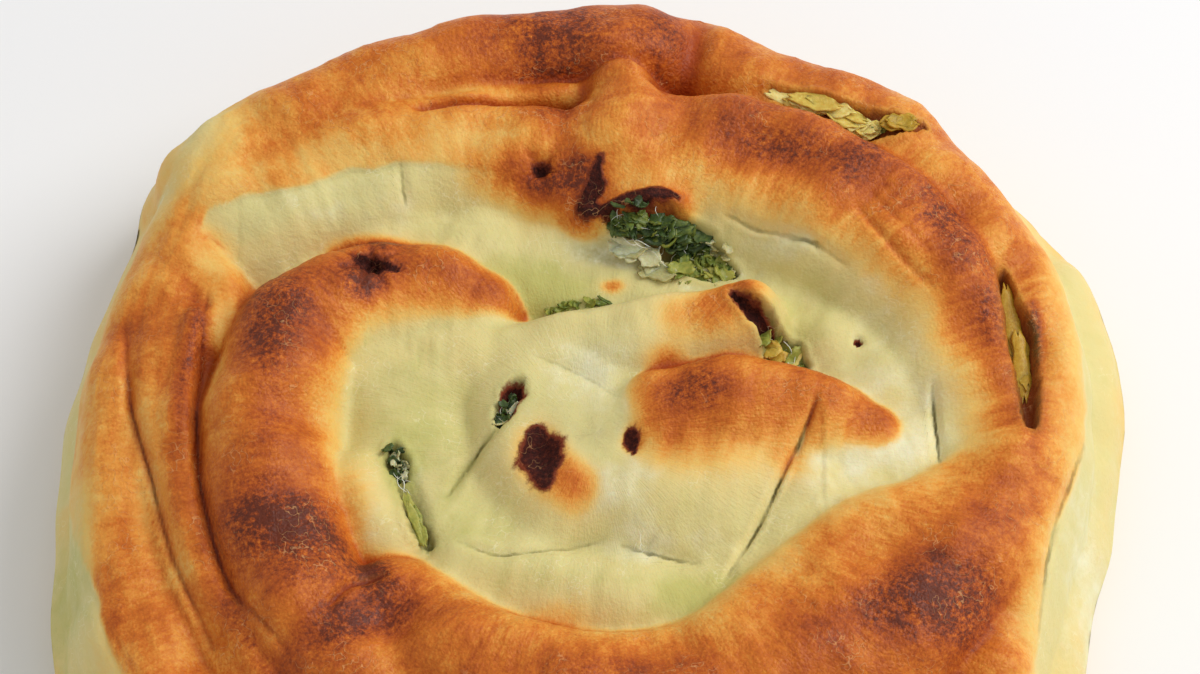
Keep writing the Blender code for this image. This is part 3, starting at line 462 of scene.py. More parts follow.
def folds_surface(x, y):
    """Height of the folds together, how brown they are baked, and how far along and across the topmost fold."""
    radius = np.hypot(x, y)
    floor_level = FLOOR_LEVEL - FLOOR_FALL * np.maximum(radius - FLOOR_RADIUS, 0)
    floor = np.exp((floor_level - MID_LEVEL) / BLEND)
    total = floor.copy()
    baked = 0.25 * floor
    highest = np.full(x.shape, -np.inf)
    run = np.zeros(x.shape)
    across = np.zeros(x.shape)
    for number, fold in enumerate(FOLDS.values()):
        near = close_to(x, y, fold.path, 3 * max(fold.left, fold.right))
        z, t, length = fold_shape(x[near], y[near], fold)
        weight = np.exp((np.maximum(z, LOWEST_LEVEL) - MID_LEVEL) / BLEND)
        crown, left, right = fold.bake
        flank = np.where(t > 0, left, right)
        total[near] += weight
        baked[near] += weight * (crown + (flank - crown) * np.clip(np.abs(t), 0, 1.05) ** FADE)
        higher = z > highest[near]
        for field, value in ((highest, z), (run, length + MARK_SHIFT * number), (across, t * fold.left)):
            field[near] = np.where(higher, value, field[near])
    return MID_LEVEL + BLEND * np.log(total), baked / total, run, across


def bulge(share):
    """0 at both ends of a path and 1 in the middle."""
    return np.sqrt(np.maximum(np.sin(np.pi * share), 0))


def cut_seams(x, y, z):
    for depth, width, path in SEAMS.values():
        near, distance, _, share = beside(x, y, path, 4 * width)
        z[near] -= depth * bulge(share) * np.exp(-((distance / width) ** 2))


def step_layers(x, y, z, baked):
    for drop, reach, lower_bake, spread, path in LAYERS.values():
        near, distance, side, share = beside(x, y, path, 3 * spread)
        wavy = noise_sum(x[near], y[near], WAVY_LAYER)
        below = smoothstep(-0.25, 0.3, wavy - side * distance) * bulge(share)
        z[near] -= drop * below * np.exp(-distance / reach)
        fade = below * smoothstep(-1, -0.4, -distance / spread)
        baked[near] += np.minimum(lower_bake - baked[near], 0) * fade


def cut_tears(x, y, z):
    """Lowers the surface into the tears, with a slightly raised lip, and says how far inside a tear each place is."""
    torn = np.zeros(x.shape)
    for depth, path in TEARS.values():
        near = close_to(x, y, path, TEAR_REACH)
        distance, width = reach_to(x[near], y[near], path)
        ragged = noise_sum(x[near], y[near], RAGGED_TEAR)
        reach = distance + ragged - width
        inside = smoothstep(-0.35, 0.2, -reach)
        z[near] += LIP_HEIGHT * np.exp(-(((reach - 0.6) / LIP_HALF) ** 2))
        z[near] -= depth * inside
        torn[near] = np.maximum(torn[near], inside)
    return torn


def star(u, v, rays):
    """Rays that run out from the middle of a pinched place, as 1 on a ray near the middle and 0 off it."""
    uneven = rays * np.arctan2(v, u) / 2 + 0.6 + 0.5 * np.sin(np.arctan2(v, u) + 1)
    return np.abs(np.cos(uneven)) ** 10 * np.exp(-((np.hypot(u, v) / 2.6) ** 2))


def press_pits(x, y, z):
    for px, py, wx, wy, depth, creases in PITS.values():
        near = (np.abs(x - px) < 5 * wx) & (np.abs(y - py) < 5 * wy)
        u, v = (x[near] - px) / wx, (y[near] - py) / wy
        reach = np.hypot(u, v)
        z[near] -= depth * np.exp(-(reach**2))
        if creases:
            z[near] -= 0.45 * depth * star(u, v, creases)


def lumps(x, y):
    """Low swells, as hand-rolled dough has."""
    rng = np.random.default_rng(SEED)
    total = np.zeros(x.shape)
    for _ in range(LUMP_WAVES):
        turn, phase = rng.uniform(0, 2 * np.pi, 2)
        length = rng.uniform(*LUMP_LENGTHS)
        total += np.sin((x * np.cos(turn) + y * np.sin(turn)) * 2 * np.pi / length + phase)
    return LUMP_HEIGHT * total / math.sqrt(LUMP_WAVES / 2)


def blisters(x, y):
    """Small bubbles of the baked skin."""
    rng = np.random.default_rng(SEED)
    z = np.zeros(x.shape)
    for _ in range(BLISTERS):
        bx, by = rng.uniform(-58, 58, 2)
        size = rng.uniform(*BLISTER_SIZES)
        near = (np.abs(x - bx) < 2 * size) & (np.abs(y - by) < 2 * size)
        reach = np.hypot(x[near] - bx, y[near] - by) / size
        z[near] += BLISTER_HEIGHT * size * np.exp(-(reach**3))
    return z


def skin_detail(x, y, run, across, baked):
    """Fine relief: small lumps everywhere, stretch marks across the folds, and a pebbled crust where it is brown."""
    crust = smoothstep(0.35, 0.7, baked)
    stretch = 0.09 * lattice_noise(run, 0.2 * across, 1.1, 13) + 0.07 * lattice_noise(run, 0.25 * across, 0.6, 14)
    pebbles = noise_sum(x, y, PEBBLES) + blisters(x, y)
    return noise_sum(x, y, SMALL_LUMPS) + stretch + crust * pebbles


def surface(x, y):
    """Height of the upper surface, how brown it is, how far inside a tear, and the noise of the stretch marks."""
    z, baked, run, across = folds_surface(x, y)
    lengthwise = x < GRAIN_TURNS
    run, across = np.where(lengthwise, across, run), np.where(lengthwise, run, across)
    z += lumps(x, y) + skin_detail(x, y, run, across, baked)
    step_layers(x, y, z, baked)
    cut_seams(x, y, z)
    press_pits(x, y, z)
    torn = cut_tears(x, y, z)
    streaks = 0.6 * lattice_noise(run, 0.16 * across, 0.8, 23) + 0.4 * lattice_noise(run, 0.1 * across, 2.6, 24)
    return z, baked, torn, streaks


def outline_radius(angle):
    """How far out the upper surface reaches down to the edge level."""
    around = np.radians(np.arange(-180, 180, 2))
    r, a = np.meshgrid(np.arange(*OUTLINE_RADII, 0.1), around)
    z = surface(r * np.cos(a), r * np.sin(a))[0]
    radius = np.where(z > EDGE_LEVEL, r, 0).max(axis=1)
    radius = (np.roll(radius, 1) + 2 * radius + np.roll(radius, -1)) / 4
    return np.interp(angle, around, radius, period=2 * np.pi)


def side_inset(angle, share, z):
    """How far the seam round the side draws the skin in."""
    level = SIDE_SEAM_LEVEL + SIDE_SEAM_SWAY * (np.sin(angle + 0.6) + 0.5 * np.sin(3 * angle))
    outer = np.clip((share - 0.88) / 0.06, 0, 1) * (0.75 + 0.25 * np.sin(2 * angle + 1))
    return SIDE_SEAM_DEPTH * outer * np.exp(-(((z - level) / SIDE_SEAM_HALF) ** 2))


def dough_points(directions):
    """Maps directions from the middle to the dough's skin, with the fields of the upper surface."""
    polar = np.arccos(np.clip(directions[:, 2], -1, 1))
    angle = np.arctan2(directions[:, 1], directions[:, 0])
    edge = outline_radius(angle)
    outward = np.minimum(polar / TOP_POLAR, 1)
    down = np.clip((polar - TOP_POLAR) / (BASE_POLAR - TOP_POLAR), 0, 1) * np.pi / 2
    inward = np.clip((np.pi - polar) / (np.pi - BASE_POLAR), 0, 1)
    r = edge * np.sin(outward * np.pi / 2) - FOOT_ROUND * (1 - np.cos(down))
    r = np.where(polar > BASE_POLAR, (edge - FOOT_ROUND) * inward, r)
    x, y = r * np.cos(angle), r * np.sin(angle)
    upper, baked, torn, streaks = surface(x, y)
    rim = np.clip(surface(edge * np.cos(angle), edge * np.sin(angle))[0], *RIM_LEVELS)
    z = np.where(polar <= TOP_POLAR, np.maximum(upper, rim), rim * (1 - np.sin(down)))
    z[polar >= BASE_POLAR] = 0
    inset = 1 - side_inset(angle, r / edge, z) / np.maximum(r, 1)
    return np.stack([x * inset, y * inset, z], axis=1), baked, torn, streaks


# Colour fields of the dough

def patches(x, y, table):
    total = np.zeros(x.shape)
    for px, py, wx, wy, amount in table:
        total += amount * np.exp(-(((x - px) / wx) ** 2) - ((y - py) / wy) ** 2)
    return total


def burnt_amount(x, y):
    ragged = noise_sum(x, y, RAGGED_BURN)
    burnt = np.zeros(x.shape)
    for path in BURNT_PLACES.values():
        distance, width = reach_to(x, y, path)
        burnt = np.maximum(burnt, np.clip(1.6 - distance / width - ragged, 0, 1))
    px, py, wx, wy, _, rays = PITS["pinch"]
    return np.maximum(burnt, 0.9 * star((x - px) / wx, (y - py) / wy, rays))


def seam_lines(x, y):
    """Signed distance to the nearest sharp seam, and how dark its painted shade line is, 0 where no seam is near."""
    offset = np.full(x.shape, LINE_REACH)
    weight = np.zeros(x.shape)
    for name, amount in SEAM_SHADE_LINES.items():
        distance, side, share = along(x, y, smooth_path(SEAMS[name][2]))
        closer = distance < np.abs(offset)
        near = smoothstep(-LINE_REACH, -0.6 * LINE_REACH, -distance)
        offset[closer] = (side * distance)[closer]
        weight[closer] = (amount * bulge(share) * near)[closer]
    return offset, weight


def onion_stain(x, y):
    """How green the dough is beside the seams and tears that onion juice has soaked."""
    green = np.zeros(x.shape)
    for name in ("centre left", "tuft"):
        distance = along(x, y, smooth_path(SEAMS[name][2]))[0]
        green = np.maximum(green, np.exp(-((distance / CREVICE_STAIN) ** 2)))
    for _, path in TEARS.values():
        distance, width = reach_to(x, y, path)
        outside = np.maximum(distance - width, 0)
        green = np.maximum(green, 0.6 * np.exp(-((outside / TEAR_STAIN) ** 2)))
    return green * (0.7 + 0.3 * lattice_noise(x, y, 1.2, 25))


def side_bake(skin):
    """How brown the side and the underside are: pale above, golden to the foot, pan-browned below."""
    x, y, z = skin.T
    around = np.arctan2(y, x) * SIDE_STRETCH
    under = smoothstep(-3.0, -0.2, -z)
    golden = 0.14 + noise_sum(around, z, UNEVEN_SIDE)
    pan_browned = 0.6 + noise_sum(x, y, UNEVEN_BASE)
    return golden * (1 - under) + pan_browned * under


def hollows(mesh, z):
    """How far each place lies below its surroundings, in mm."""
    edges = np.empty(len(mesh.edges) * 2, int)
    mesh.edges.foreach_get("vertices", edges)
    a, b = edges.reshape(-1, 2).T
    count = np.bincount(a, minlength=len(z)) + np.bincount(b, minlength=len(z))
    around = z.copy()
    for _ in range(HOLLOW_PASSES):
        total = np.bincount(a, around[b], len(z)) + np.bincount(b, around[a], len(z))
        around = 0.5 * around + 0.5 * total / count
    return around - z


def baked_amount(skin, baked, streaks, painted_shade_hollow, side):
    """How brown the skin is, with patches and streaks, and painted shade making crust browner in hollows."""
    baked = baked + patches(skin[:, 0], skin[:, 1], BAKED_AND_SHADE_PATCHES)
    crust = smoothstep(0.15, 0.5, baked)
    # Painted shade: the brown crust gets browner in hollows and a little paler on crests.
    baked = baked + crust * (0.06 * streaks + 0.2 * np.clip(painted_shade_hollow, -0.15, 0.8)) + 0.03 * streaks
    return baked + (side_bake(skin) - baked) * side * SIDE_SHARE


def color_fields(mesh, skin, baked, torn, streaks):
    """What the dough's material goes by, as one value for each point of the skin."""
    x, y, z = skin.T
    low, high = SIDE_LEVELS
    side = smoothstep(-high, -low, -z)
    painted_shade_hollow = hollows(mesh, z)
    seam_offset, seam_shade_line = seam_lines(x, y)
    return {
        "baked": baked_amount(skin, baked, streaks, painted_shade_hollow, side),
        "burnt": burnt_amount(x, y) * (1 - side),
        "green": onion_stain(x, y) * (1 - side),
        "torn": torn,
        "seam_offset": seam_offset,
        # Where the painted shade line at the bottom of a sharp seam lies.
        "seam_shade_line": seam_shade_line * (1 - side),
        # How much painted shade each place gets for lying in a hollow.
        "painted_shade_hollow": np.clip(painted_shade_hollow / HOLLOW_DEPTH, 0, 1) * (1 - side),
        "glassy": patches(x, y, GLASSY_PATCHES) * (1 - side),
        # Whiter or greener dough, in some places greener and darker as painted shade.
        "milky_and_shade": patches(x, y, MILKY_AND_SHADE_PATCHES) + 0.15 * streaks,
    }


# Skin of the dough

def cube_grid(name):
    """A cube with its sides cut to a fine grid."""
    bm = bmesh.new()
    bmesh.ops.create_cube(bm, size=2)
    bmesh.ops.subdivide_edges(bm, edges=bm.edges[:], cuts=GRID_CUTS, use_grid_fill=True)
    return mesh_of(bm, name)


def dough_skin(material):
    """Adds the dough and returns how far its middle is from the tables' origin."""
    mesh = cube_grid("dough_skin")
    directions = np.empty(len(mesh.vertices) * 3)
    mesh.vertices.foreach_get("co", directions)
    directions = directions.reshape(-1, 3)
    directions /= np.linalg.norm(directions, axis=1)[:, None]
    skin, baked, torn, streaks = dough_points(directions)
    for name, values in color_fields(mesh, skin, baked, torn, streaks).items():
        store(mesh, name, values)
    middle = (skin.max(axis=0) + skin.min(axis=0)) / 2
    middle[2] = 0
    mesh.vertices.foreach_set("co", ((skin - middle) * MM).ravel())
    mesh.update()
    mesh.shade_smooth()
    add_piece("dough_skin", mesh, material, "dough")
    return middle


# Chopped onion

def pick(rng, size):
    """The size itself, or one drawn from a range."""
    return rng.uniform(*size) if isinstance(size, tuple) else size


def sheet(rng, length, width, thickness, curl, crumple, nu=10, nv=5):
    """A curled, crumpled piece of leaf or onion with ragged edges: points in mm and faces."""
    u, v = np.meshgrid(np.linspace(-0.5, 0.5, nu + 1), np.linspace(-0.5, 0.5, nv + 1), indexing="ij")
    phase = rng.uniform(0, 6.3, 6)
    ragged = 1 + 0.18 * np.sin(9 * u + phase[0]) + 0.08 * np.sin(21 * u + phase[1])
    taper = np.sqrt(np.maximum(1 - (2 * np.abs(u)) ** 4, 0.12))
    x = np.sin(u * curl) / curl * length * (1 + 0.12 * np.sin(8 * v + phase[2]))
    y = v * width * ragged * taper
    z = (1 - np.cos(u * curl)) / curl * length + 0.35 * width * v**2 * np.sin(phase[3])
    z = z + crumple * width * (np.sin(8 * u + 5 * v + phase[4]) + 0.6 * np.sin(15 * u - 8 * v + phase[5]))
    top = np.stack([x, y, z + thickness / 2], axis=-1).reshape(-1, 3)
    bottom = np.stack([x, y, z - thickness / 2], axis=-1).reshape(-1, 3)
    at = np.arange((nu + 1) * (nv + 1)).reshape(nu + 1, nv + 1)
    quads = np.stack([at[:-1, :-1], at[1:, :-1], at[1:, 1:], at[:-1, 1:]], axis=-1).reshape(-1, 4)
    border = np.concatenate([at[:, 0], at[-1, 1:], at[-2::-1, -1], at[0, -2::-1]])[:-1]
    ahead = np.roll(border, -1)
    under = at.size
    walls = np.stack([border, border + under, ahead + under, ahead], axis=-1)
    return np.vstack([top, bottom]), np.vstack([quads, quads[:, ::-1] + under, walls])


def ring_slice(rng, radius, wall, depth, sides=20):
    """A short slice of the hollow leaf: points in mm and faces."""
    turn = np.arange(sides) * 2 * np.pi / sides
    wobble = 1 + 0.08 * np.sin(2 * turn + rng.uniform(0, 6.3)) + 0.04 * np.sin(5 * turn + rng.uniform(0, 6.3))
    loops = []
    for r, z in ((radius, -0.5), (radius, 0.5), (radius - wall, 0.5), (radius - wall, -0.5)):
        r = r * wobble
        loops.append(np.stack([r * np.cos(turn), 0.8 * r * np.sin(turn), z * depth + 0 * turn], axis=-1))
    at = np.arange(4 * sides).reshape(4, sides)
    faces = []
    for k in range(4):
        a, b = at[k], at[(k + 1) % 4]
        faces.append(np.stack([a, np.roll(a, -1), np.roll(b, -1), b], axis=-1))
    return np.vstack(loops), np.vstack(faces)


def tube(centres, offsets):
    """A closed tube through the centres, with a ring of offsets round each: points in mm and faces."""
    steps, sides = offsets.shape[:2]
    points = np.vstack([(centres[:, None] + offsets).reshape(-1, 3), centres[0], centres[-1]])
    at = np.arange(steps * sides).reshape(steps, sides)
    a, b = at[:-1], at[1:]
    quads = np.stack([a, np.roll(a, -1, 1), np.roll(b, -1, 1), b], axis=-1).reshape(-1, 4)
    first = np.full(sides, len(points) - 2)
    last = np.full(sides, len(points) - 1)
    start = np.stack([at[0], first, first, np.roll(at[0], -1)], axis=-1)
    end = np.stack([at[-1], np.roll(at[-1], -1), last, last], axis=-1)
    return points, np.vstack([quads, start, end])


def string(rng, length, radius, sides=6, steps=9):
    """A thin bent fibre: points in mm and faces."""
    s = np.linspace(-0.5, 0.5, steps)
    phase = rng.uniform(0, 6.3, 3)
    bends = (0.14 * length * np.sin(5 * s + phase[0]), 0.05 * length * np.sin(6 * s + phase[1]))
    path = np.stack([s * length, *bends], axis=-1)
    turn = np.arange(sides) * 2 * np.pi / sides
    thick = radius * (1.05 - (2 * np.abs(s)) ** 3)
    circle = np.stack([0 * turn, np.cos(turn), np.sin(turn)], axis=-1)
    return tube(path, thick[:, None, None] * circle)


def turned(points, heading, tilt, pitch):
    """Points rolled about X by the tilt, pitched about Y, then turned about Z to the heading."""
    turn = Matrix.Rotation(heading, 3, "Z") @ Matrix.Rotation(pitch, 3, "Y") @ Matrix.Rotation(tilt, 3, "X")
    return points @ np.array(turn).T


class Heap:
    """Many small shapes of one kind, gathered in one mesh with a tone for each shape."""

    def __init__(self):
        self.points = []
        self.faces = []
        self.tones = []
        self.size = 0

    def add(self, shape, place, tone):
        points, faces = shape
        self.points.append(points + place)
        self.faces.append(faces + self.size)
        self.tones.append(np.full(len(points), tone))
        self.size += len(points)

    def scatter(self, rng, bed):
        """Shapes strewn along a bed, lying fairly flat at its height over the dough."""
        path = smooth_path(bed.path)
        row = rng.integers(len(path), size=bed.count)
        x, y = (path[row] + rng.uniform(-1, 1, (bed.count, 2)) * bed.spread).T
        z = surface(x, y)[0] + rng.uniform(*bed.heights, bed.count)
        ahead = np.gradient(path, axis=0)[row]
        headings = np.arctan2(ahead[:, 1], ahead[:, 0]) + rng.uniform(-1, 1, bed.count) * bed.swerve
        for *place, heading in zip(x, y, z, headings):
            shape, *sizes = bed.kind
            points, faces = shape(rng, *[pick(rng, size) for size in sizes])
            self.add((turned(points, heading, *rng.normal(0, bed.tilt, 2)), faces), place, rng.uniform(*bed.tones))

    def piece(self, name, material, middle):
        points = (np.vstack(self.points) - middle) * MM
        mesh = bpy.data.meshes.new(name)
        faces = [tuple(dict.fromkeys(face)) for face in np.vstack(self.faces).tolist()]
        mesh.from_pydata(points.tolist(), [], faces)
        store(mesh, "tone", np.concatenate(self.tones))
        mesh.shade_smooth()
        add_piece(name, mesh, material, "filling")


# Kinds of pieces: the shape, and its sizes in the order that the shape takes them, each a number or a range.
LEAF = (sheet, (1.8, 4), (1.1, 2.1), 0.15, (0.3, 1.1), 0.045)
SMALL_LEAF = (sheet, (1, 2), (0.5, 1), 0.14, (0.4, 1.8), 0.06)
LONG_LEAF = (sheet, (3.4, 5.2), (0.9, 1.4), 0.16, (0.1, 0.4), 0.02, 16, 6)
PANE = (sheet, (3, 4.2), (1.8, 2.6), 0.18, (0.15, 0.4), 0.01, 14, 8)
DISC = (sheet, 3.6, 3, 0.2, 0.3, 0.01, 14, 10)
FILM = (sheet, (4.5, 7), (1.5, 2.3), 0.2, (0.1, 0.35), 0.012, 18, 8)
FLAP = (sheet, (2.6, 3.8), (1.5, 2.2), 0.2, (0.2, 0.6), 0.02, 12, 8)
LINING = (sheet, (8, 10), (1.7, 2.2), 0.2, (0.1, 0.25), 0.006, 24, 8)
RING = (ring_slice, (0.9, 1.4), 0.28, (0.5, 0.9))
FIBRE = (string, (1, 2.8), (0.03, 0.05))
LONG_FIBRE = (string, (2.4, 4), (0.045, 0.07))

Bed = namedtuple("Bed", "kind count spread heights tilt swerve tones path")

# Where the onion shows: what, how many, how far to the sides, how high over the dough below, how much it leans and
# swerves from the path, how light it is (0 to 1), and the path.
LEAF_BEDS = [
    Bed(LEAF, 30, (0.6, 0.5), (0.4, 1.3), 0.3, 2, (0.1, 0.6), [(3.8, 28.8), (6.5, 28.4), (9, 28.2)]),
    Bed(LEAF, 26, (0.7, 1), (0.4, 1.4), 0.3, 3, (0.1, 0.6), [(8.6, 28.4), (10.8, 28), (12.8, 27.4)]),
    Bed(LEAF, 26, (1.2, 1), (0.5, 1.3), 0.3, 3, (0.6, 1), [(10.4, 25.4), (12.6, 24.8), (14.8, 24.4)]),
    Bed(SMALL_LEAF, 34, (1.6, 1), (0.9, 1.7), 0.5, 3, (0, 0.8), [(4.6, 28.6), (8, 28), (13.4, 26)]),
    Bed(LEAF, 8, (0.6, 0.6), (0.5, 1.3), 0.3, 3, (0.4, 0.9), [(13.6, 26.4), (15.2, 25.2)]),
    Bed(LEAF, 14, (0.8, 0.6), (0.4, 1.4), 0.35, 2, (0.6, 1), [(19.8, 15.2), (22, 14), (23.8, 12.8)]),
    Bed(SMALL_LEAF, 12, (0.5, 0.6), (0.4, 1.2), 0.6, 3, (0, 0.4), [(-8.2, 6.4), (-9.3, 4)]),
    Bed(SMALL_LEAF, 14, (0.8, 0.9), (0.2, 0.9), 0.5, 3, (0, 0.6), [(-21, 0.6), (-20.3, -1.6)]),
    Bed(LONG_LEAF, 4, (0.12, 0.4), (0.5, 0.9), 0.12, 0.08, (0.75, 1), [(-19.1, -6.2), (-18.2, -8.8)]),
    Bed(SMALL_LEAF, 12, (0.6, 0.3), (0, 0.4), 0.4, 1, (0.4, 0.9), [(-4.6, 20), (-2.3, 20.4), (1.6, 20.5)]),
    Bed(SMALL_LEAF, 6, (0.4, 0.4), (0.2, 0.7), 0.5, 1, (0.5, 0.9), [(32.8, 41.5), (34, 41.2)]),
]
RING_BEDS = [
    Bed(RING, 3, (0.6, 0.5), (1, 1.5), 0.3, 3, (0.7, 1), [(12.4, 25.4), (14.4, 24.8)]),
    Bed(RING, 1, (0.4, 0.3), (1.4, 1.8), 0.3, 3, (0.5, 0.9), [(9, 28), (10, 27.6)]),
]
ONION_BEDS = [
    Bed(DISC, 1, (0.1, 0.1), (0.9, 1), 0.08, 0.3, (0.4, 0.5), [(14.8, 24.9), (15.2, 25.1)]),
    Bed(PANE, 4, (0.5, 0.3), (0.4, 0.8), 0.08, 0.4, (0.4, 0.8), [(4.2, 26.4), (6.2, 25.9), (8, 25.2)]),
    Bed(PANE, 2, (0.3, 0.3), (0.3, 0.6), 0.08, 0.3, (0.3, 0.6), [(7.6, 24.2), (8.8, 23.8)]),
    Bed(SMALL_LEAF, 14, (0.5, 0.5), (0.5, 1.2), 0.3, 2, (0.2, 0.8), [(13.2, 27.6), (15, 26.6), (16, 25.6)]),
    Bed(SMALL_LEAF, 8, (0.5, 0.5), (0.3, 1), 0.5, 3, (0.6, 1), [(20.4, 15), (23.8, 12.6)]),
    Bed(SMALL_LEAF, 10, (0.7, 0.8), (0.4, 0.9), 0.5, 3, (0.4, 0.9), [(-20.8, 0.4), (-20, -1.8)]),
    Bed(SMALL_LEAF, 4, (0.4, 0.6), (0.5, 1.2), 0.5, 1, (0.4, 0.8), [(-8.2, 5.8), (-9.2, 3.6)]),
]
FILM_BEDS = [
    Bed(FILM, 8, (0.3, 0.35), (0.6, 1), 0.06, 0.1, (0.6, 1), [(22.8, 45.6), (26, 44.2), (29.6, 42.7)]),
    Bed(FLAP, 3, (0.4, 0.3), (0.9, 1.2), 0.12, 0.6, (0.7, 1), [(30, 42.4), (31.6, 41.9)]),
    Bed(FLAP, 4, (0.4, 0.3), (0.7, 1.1), 0.1, 0.3, (0.2, 0.5), [(34.6, 41.4), (37, 41.6)]),
    Bed(FLAP, 3, (0.4, 0.3), (0.9, 1.3), 0.1, 0.3, (0.6, 1), [(31.6, 41.4), (33.4, 41)]),
    Bed(LEAF, 8, (0.6, 0.5), (0.6, 1.5), 0.35, 2, (0.4, 0.9), [(20.6, 14.6), (22.4, 13.8), (23.6, 12.8)]),
    Bed(LINING, 5, (0.1, 0.5), (0.8, 1.2), 0.06, 0.04, (0.1, 0.4), [(47.5, 17.4), (48.1, 13), (48.3, 9.4)]),
]
FIBRE_BEDS = [
    Bed(FIBRE, 30, (1.2, 1.2), (0.9, 1.6), 0.2, 3, (0.3, 1), [(4, 28.6), (9, 28), (13.6, 25.6)]),
    Bed(LONG_FIBRE, 5, (1.4, 0.4), (1.2, 1.6), 0.15, 3, (0.5, 1), [(5, 28.2), (10, 27.6), (13, 26)]),
    Bed(LONG_FIBRE, 6, (0.6, 0.5), (0.8, 1.1), 0.1, 0.5, (0.6, 1), [(4.4, 26.6), (6.4, 25.8), (8.2, 25)]),
    Bed(LONG_FIBRE, 3, (0.15, 0.5), (1.2, 1.7), 0.15, 0.15, (0.7, 1), [(22.6, 15.2), (22.9, 13.9), (23.4, 12.6)]),
    Bed(FIBRE, 6, (0.6, 0.6), (1, 1.7), 0.4, 3, (0.3, 1), [(19.6, 15), (21.6, 14.2), (23.4, 12.8)]),
    Bed(FIBRE, 9, (0.7, 0.9), (0.4, 0.9), 0.3, 3, (0.5, 1), [(-20.8, 0.2), (-20, -2.6)]),
    Bed(LONG_FIBRE, 3, (0.2, 0.4), (0.5, 0.8), 0.1, 0.2, (0.5, 1), [(-20.3, -2.6), (-19.4, -5.4)]),
    Bed(FIBRE, 4, (0.6, 0.6), (0.6, 1.2), 0.3, 3, (0.2, 0.8), [(-8.4, 5.8), (-9, 4.2)]),
    Bed(FIBRE, 5, (0.5, 0.5), (0.1, 0.3), 0.2, 3, (0.5, 1), [(5.8, -11), (8.2, -11.4)]),
]

# The strand of onion that runs inside the coil: x, y, z, half thickness.
STRAND = [
    (-8.2, 8.6, 18.9, 1.5), (-10.6, 3.8, 18.4, 1.6), (-15.5, 2.2, 16.6, 1.9), (-20, 0.6, 17.8, 1.7),
    (-18.9, -4, 17.9, 1.7), (-16.8, -9.5, 17, 1.8), (-9, -14.5, 14.5, 2.2), (4, -14, 14.5, 2.2),
    (16, -11, 14.5, 2.2), (22.5, -2, 14.5, 2.2), (26.5, 5, 15.5, 2.1), (24.2, 12, 17.4, 1.7),
    (20.6, 17.4, 17.6, 1.7), (17.4, 21, 17.2, 2.2), (13.5, 26, 17.2, 2.8), (8.5, 28.6, 17.4, 2.9),
    (2, 30.2, 17, 2.5), (-7, 31, 15.2, 2.2), (-22, 31.5, 14.5, 2.3), (-37, 27, 14, 2.3), (-43, 15, 13, 2.3),
    (-44, 2, 13, 2.3), (-41, -12, 13, 2.3), (-34, -26, 13, 2.3), (-20, -38, 13.5, 2.3), (0, -42, 14, 2.3),
    (20, -38.5, 14, 2.3), (35, -27, 14, 2.3), (43.5, -14, 14.5, 2.3), (47, -2, 16, 2), (48.8, 7, 18.4, 1.4),
    (48.7, 15, 18.6, 1.4), (46.8, 22.5, 18.4, 1.4), (42, 32, 18.6, 1.5), (36.5, 41, 20.6, 1.3),
    (30, 43.4, 20.9, 1.4), (23, 46.2, 20.6, 1.3),
]
STRAND_SIDES = 14


def strand():
    """The lumpy strand inside the coil, as one closed tube: points in mm and faces."""
    path = smooth_path(STRAND, 8)
    ahead = np.gradient(path[:, :3], axis=0)
    ahead /= np.linalg.norm(ahead, axis=1)[:, None]
    across = np.stack([ahead[:, 1], -ahead[:, 0], 0 * ahead[:, 0]], axis=-1)
    across /= np.linalg.norm(across, axis=1)[:, None]
    above = np.cross(across, ahead)
    turn = np.arange(STRAND_SIDES) * 2 * np.pi / STRAND_SIDES
    row = np.arange(len(path))[:, None]
    lumpy = 1 + 0.08 * lattice_noise(row + 0 * turn, STRAND_SIDES * np.cos(turn) + 0 * row, 2.3, 31)
    radius = path[:, 3:] * lumpy
    circles = across[:, None] * np.cos(turn)[:, None] + above[:, None] * np.sin(turn)[:, None]
    return tube(path[:, :3], radius[..., None] * circles)


# How softly light spreads in each kind of onion, and its colours from dark to light as (share, colour).
ONION_LOOKS = {
    "green_leaf": (0.15, [
        (0.0, (0.020, 0.036, 0.010)), (0.35, (0.06, 0.10, 0.022)), (0.7, (0.20, 0.24, 0.035)),
        (1.0, (0.40, 0.38, 0.07))]),
    "pale_onion": (0.4, [
        (0.0, (0.30, 0.28, 0.11)), (0.4, (0.46, 0.42, 0.18)), (0.75, (0.62, 0.60, 0.36)),
        (1.0, (0.78, 0.76, 0.54))]),
    "yellow_leaf": (0.3, [
        (0.0, (0.36, 0.20, 0.012)), (0.35, (0.52, 0.30, 0.022)), (0.7, (0.68, 0.50, 0.10)),
        (1.0, (0.84, 0.70, 0.26))]),
    "fibre": (0.3, [
        (0.0, (0.50, 0.45, 0.22)), (1.0, (0.86, 0.85, 0.70))]),
}
ONION_PIECES = {
    "leaves": ("green_leaf", LEAF_BEDS),
    "rings": ("green_leaf", RING_BEDS),
    "onion_flakes": ("pale_onion", ONION_BEDS),
    "thin_layers": ("yellow_leaf", FILM_BEDS),
    "fibres": ("fibre", FIBRE_BEDS),
}
STRAND_TONE = 0.3


def filling(middle):
    rng = np.random.default_rng(SEED)
    materials = {name: onion_material(name, *look) for name, look in ONION_LOOKS.items()}
    core = Heap()
    core.add(strand(), (0, 0, 0), STRAND_TONE)
    core.piece("onion_strand", materials["green_leaf"], middle)
    for name, (kind, beds) in ONION_PIECES.items():
        heap = Heap()
        for bed in beds:
            heap.scatter(rng, bed)
        heap.piece(name, materials[kind], middle)


# Materials

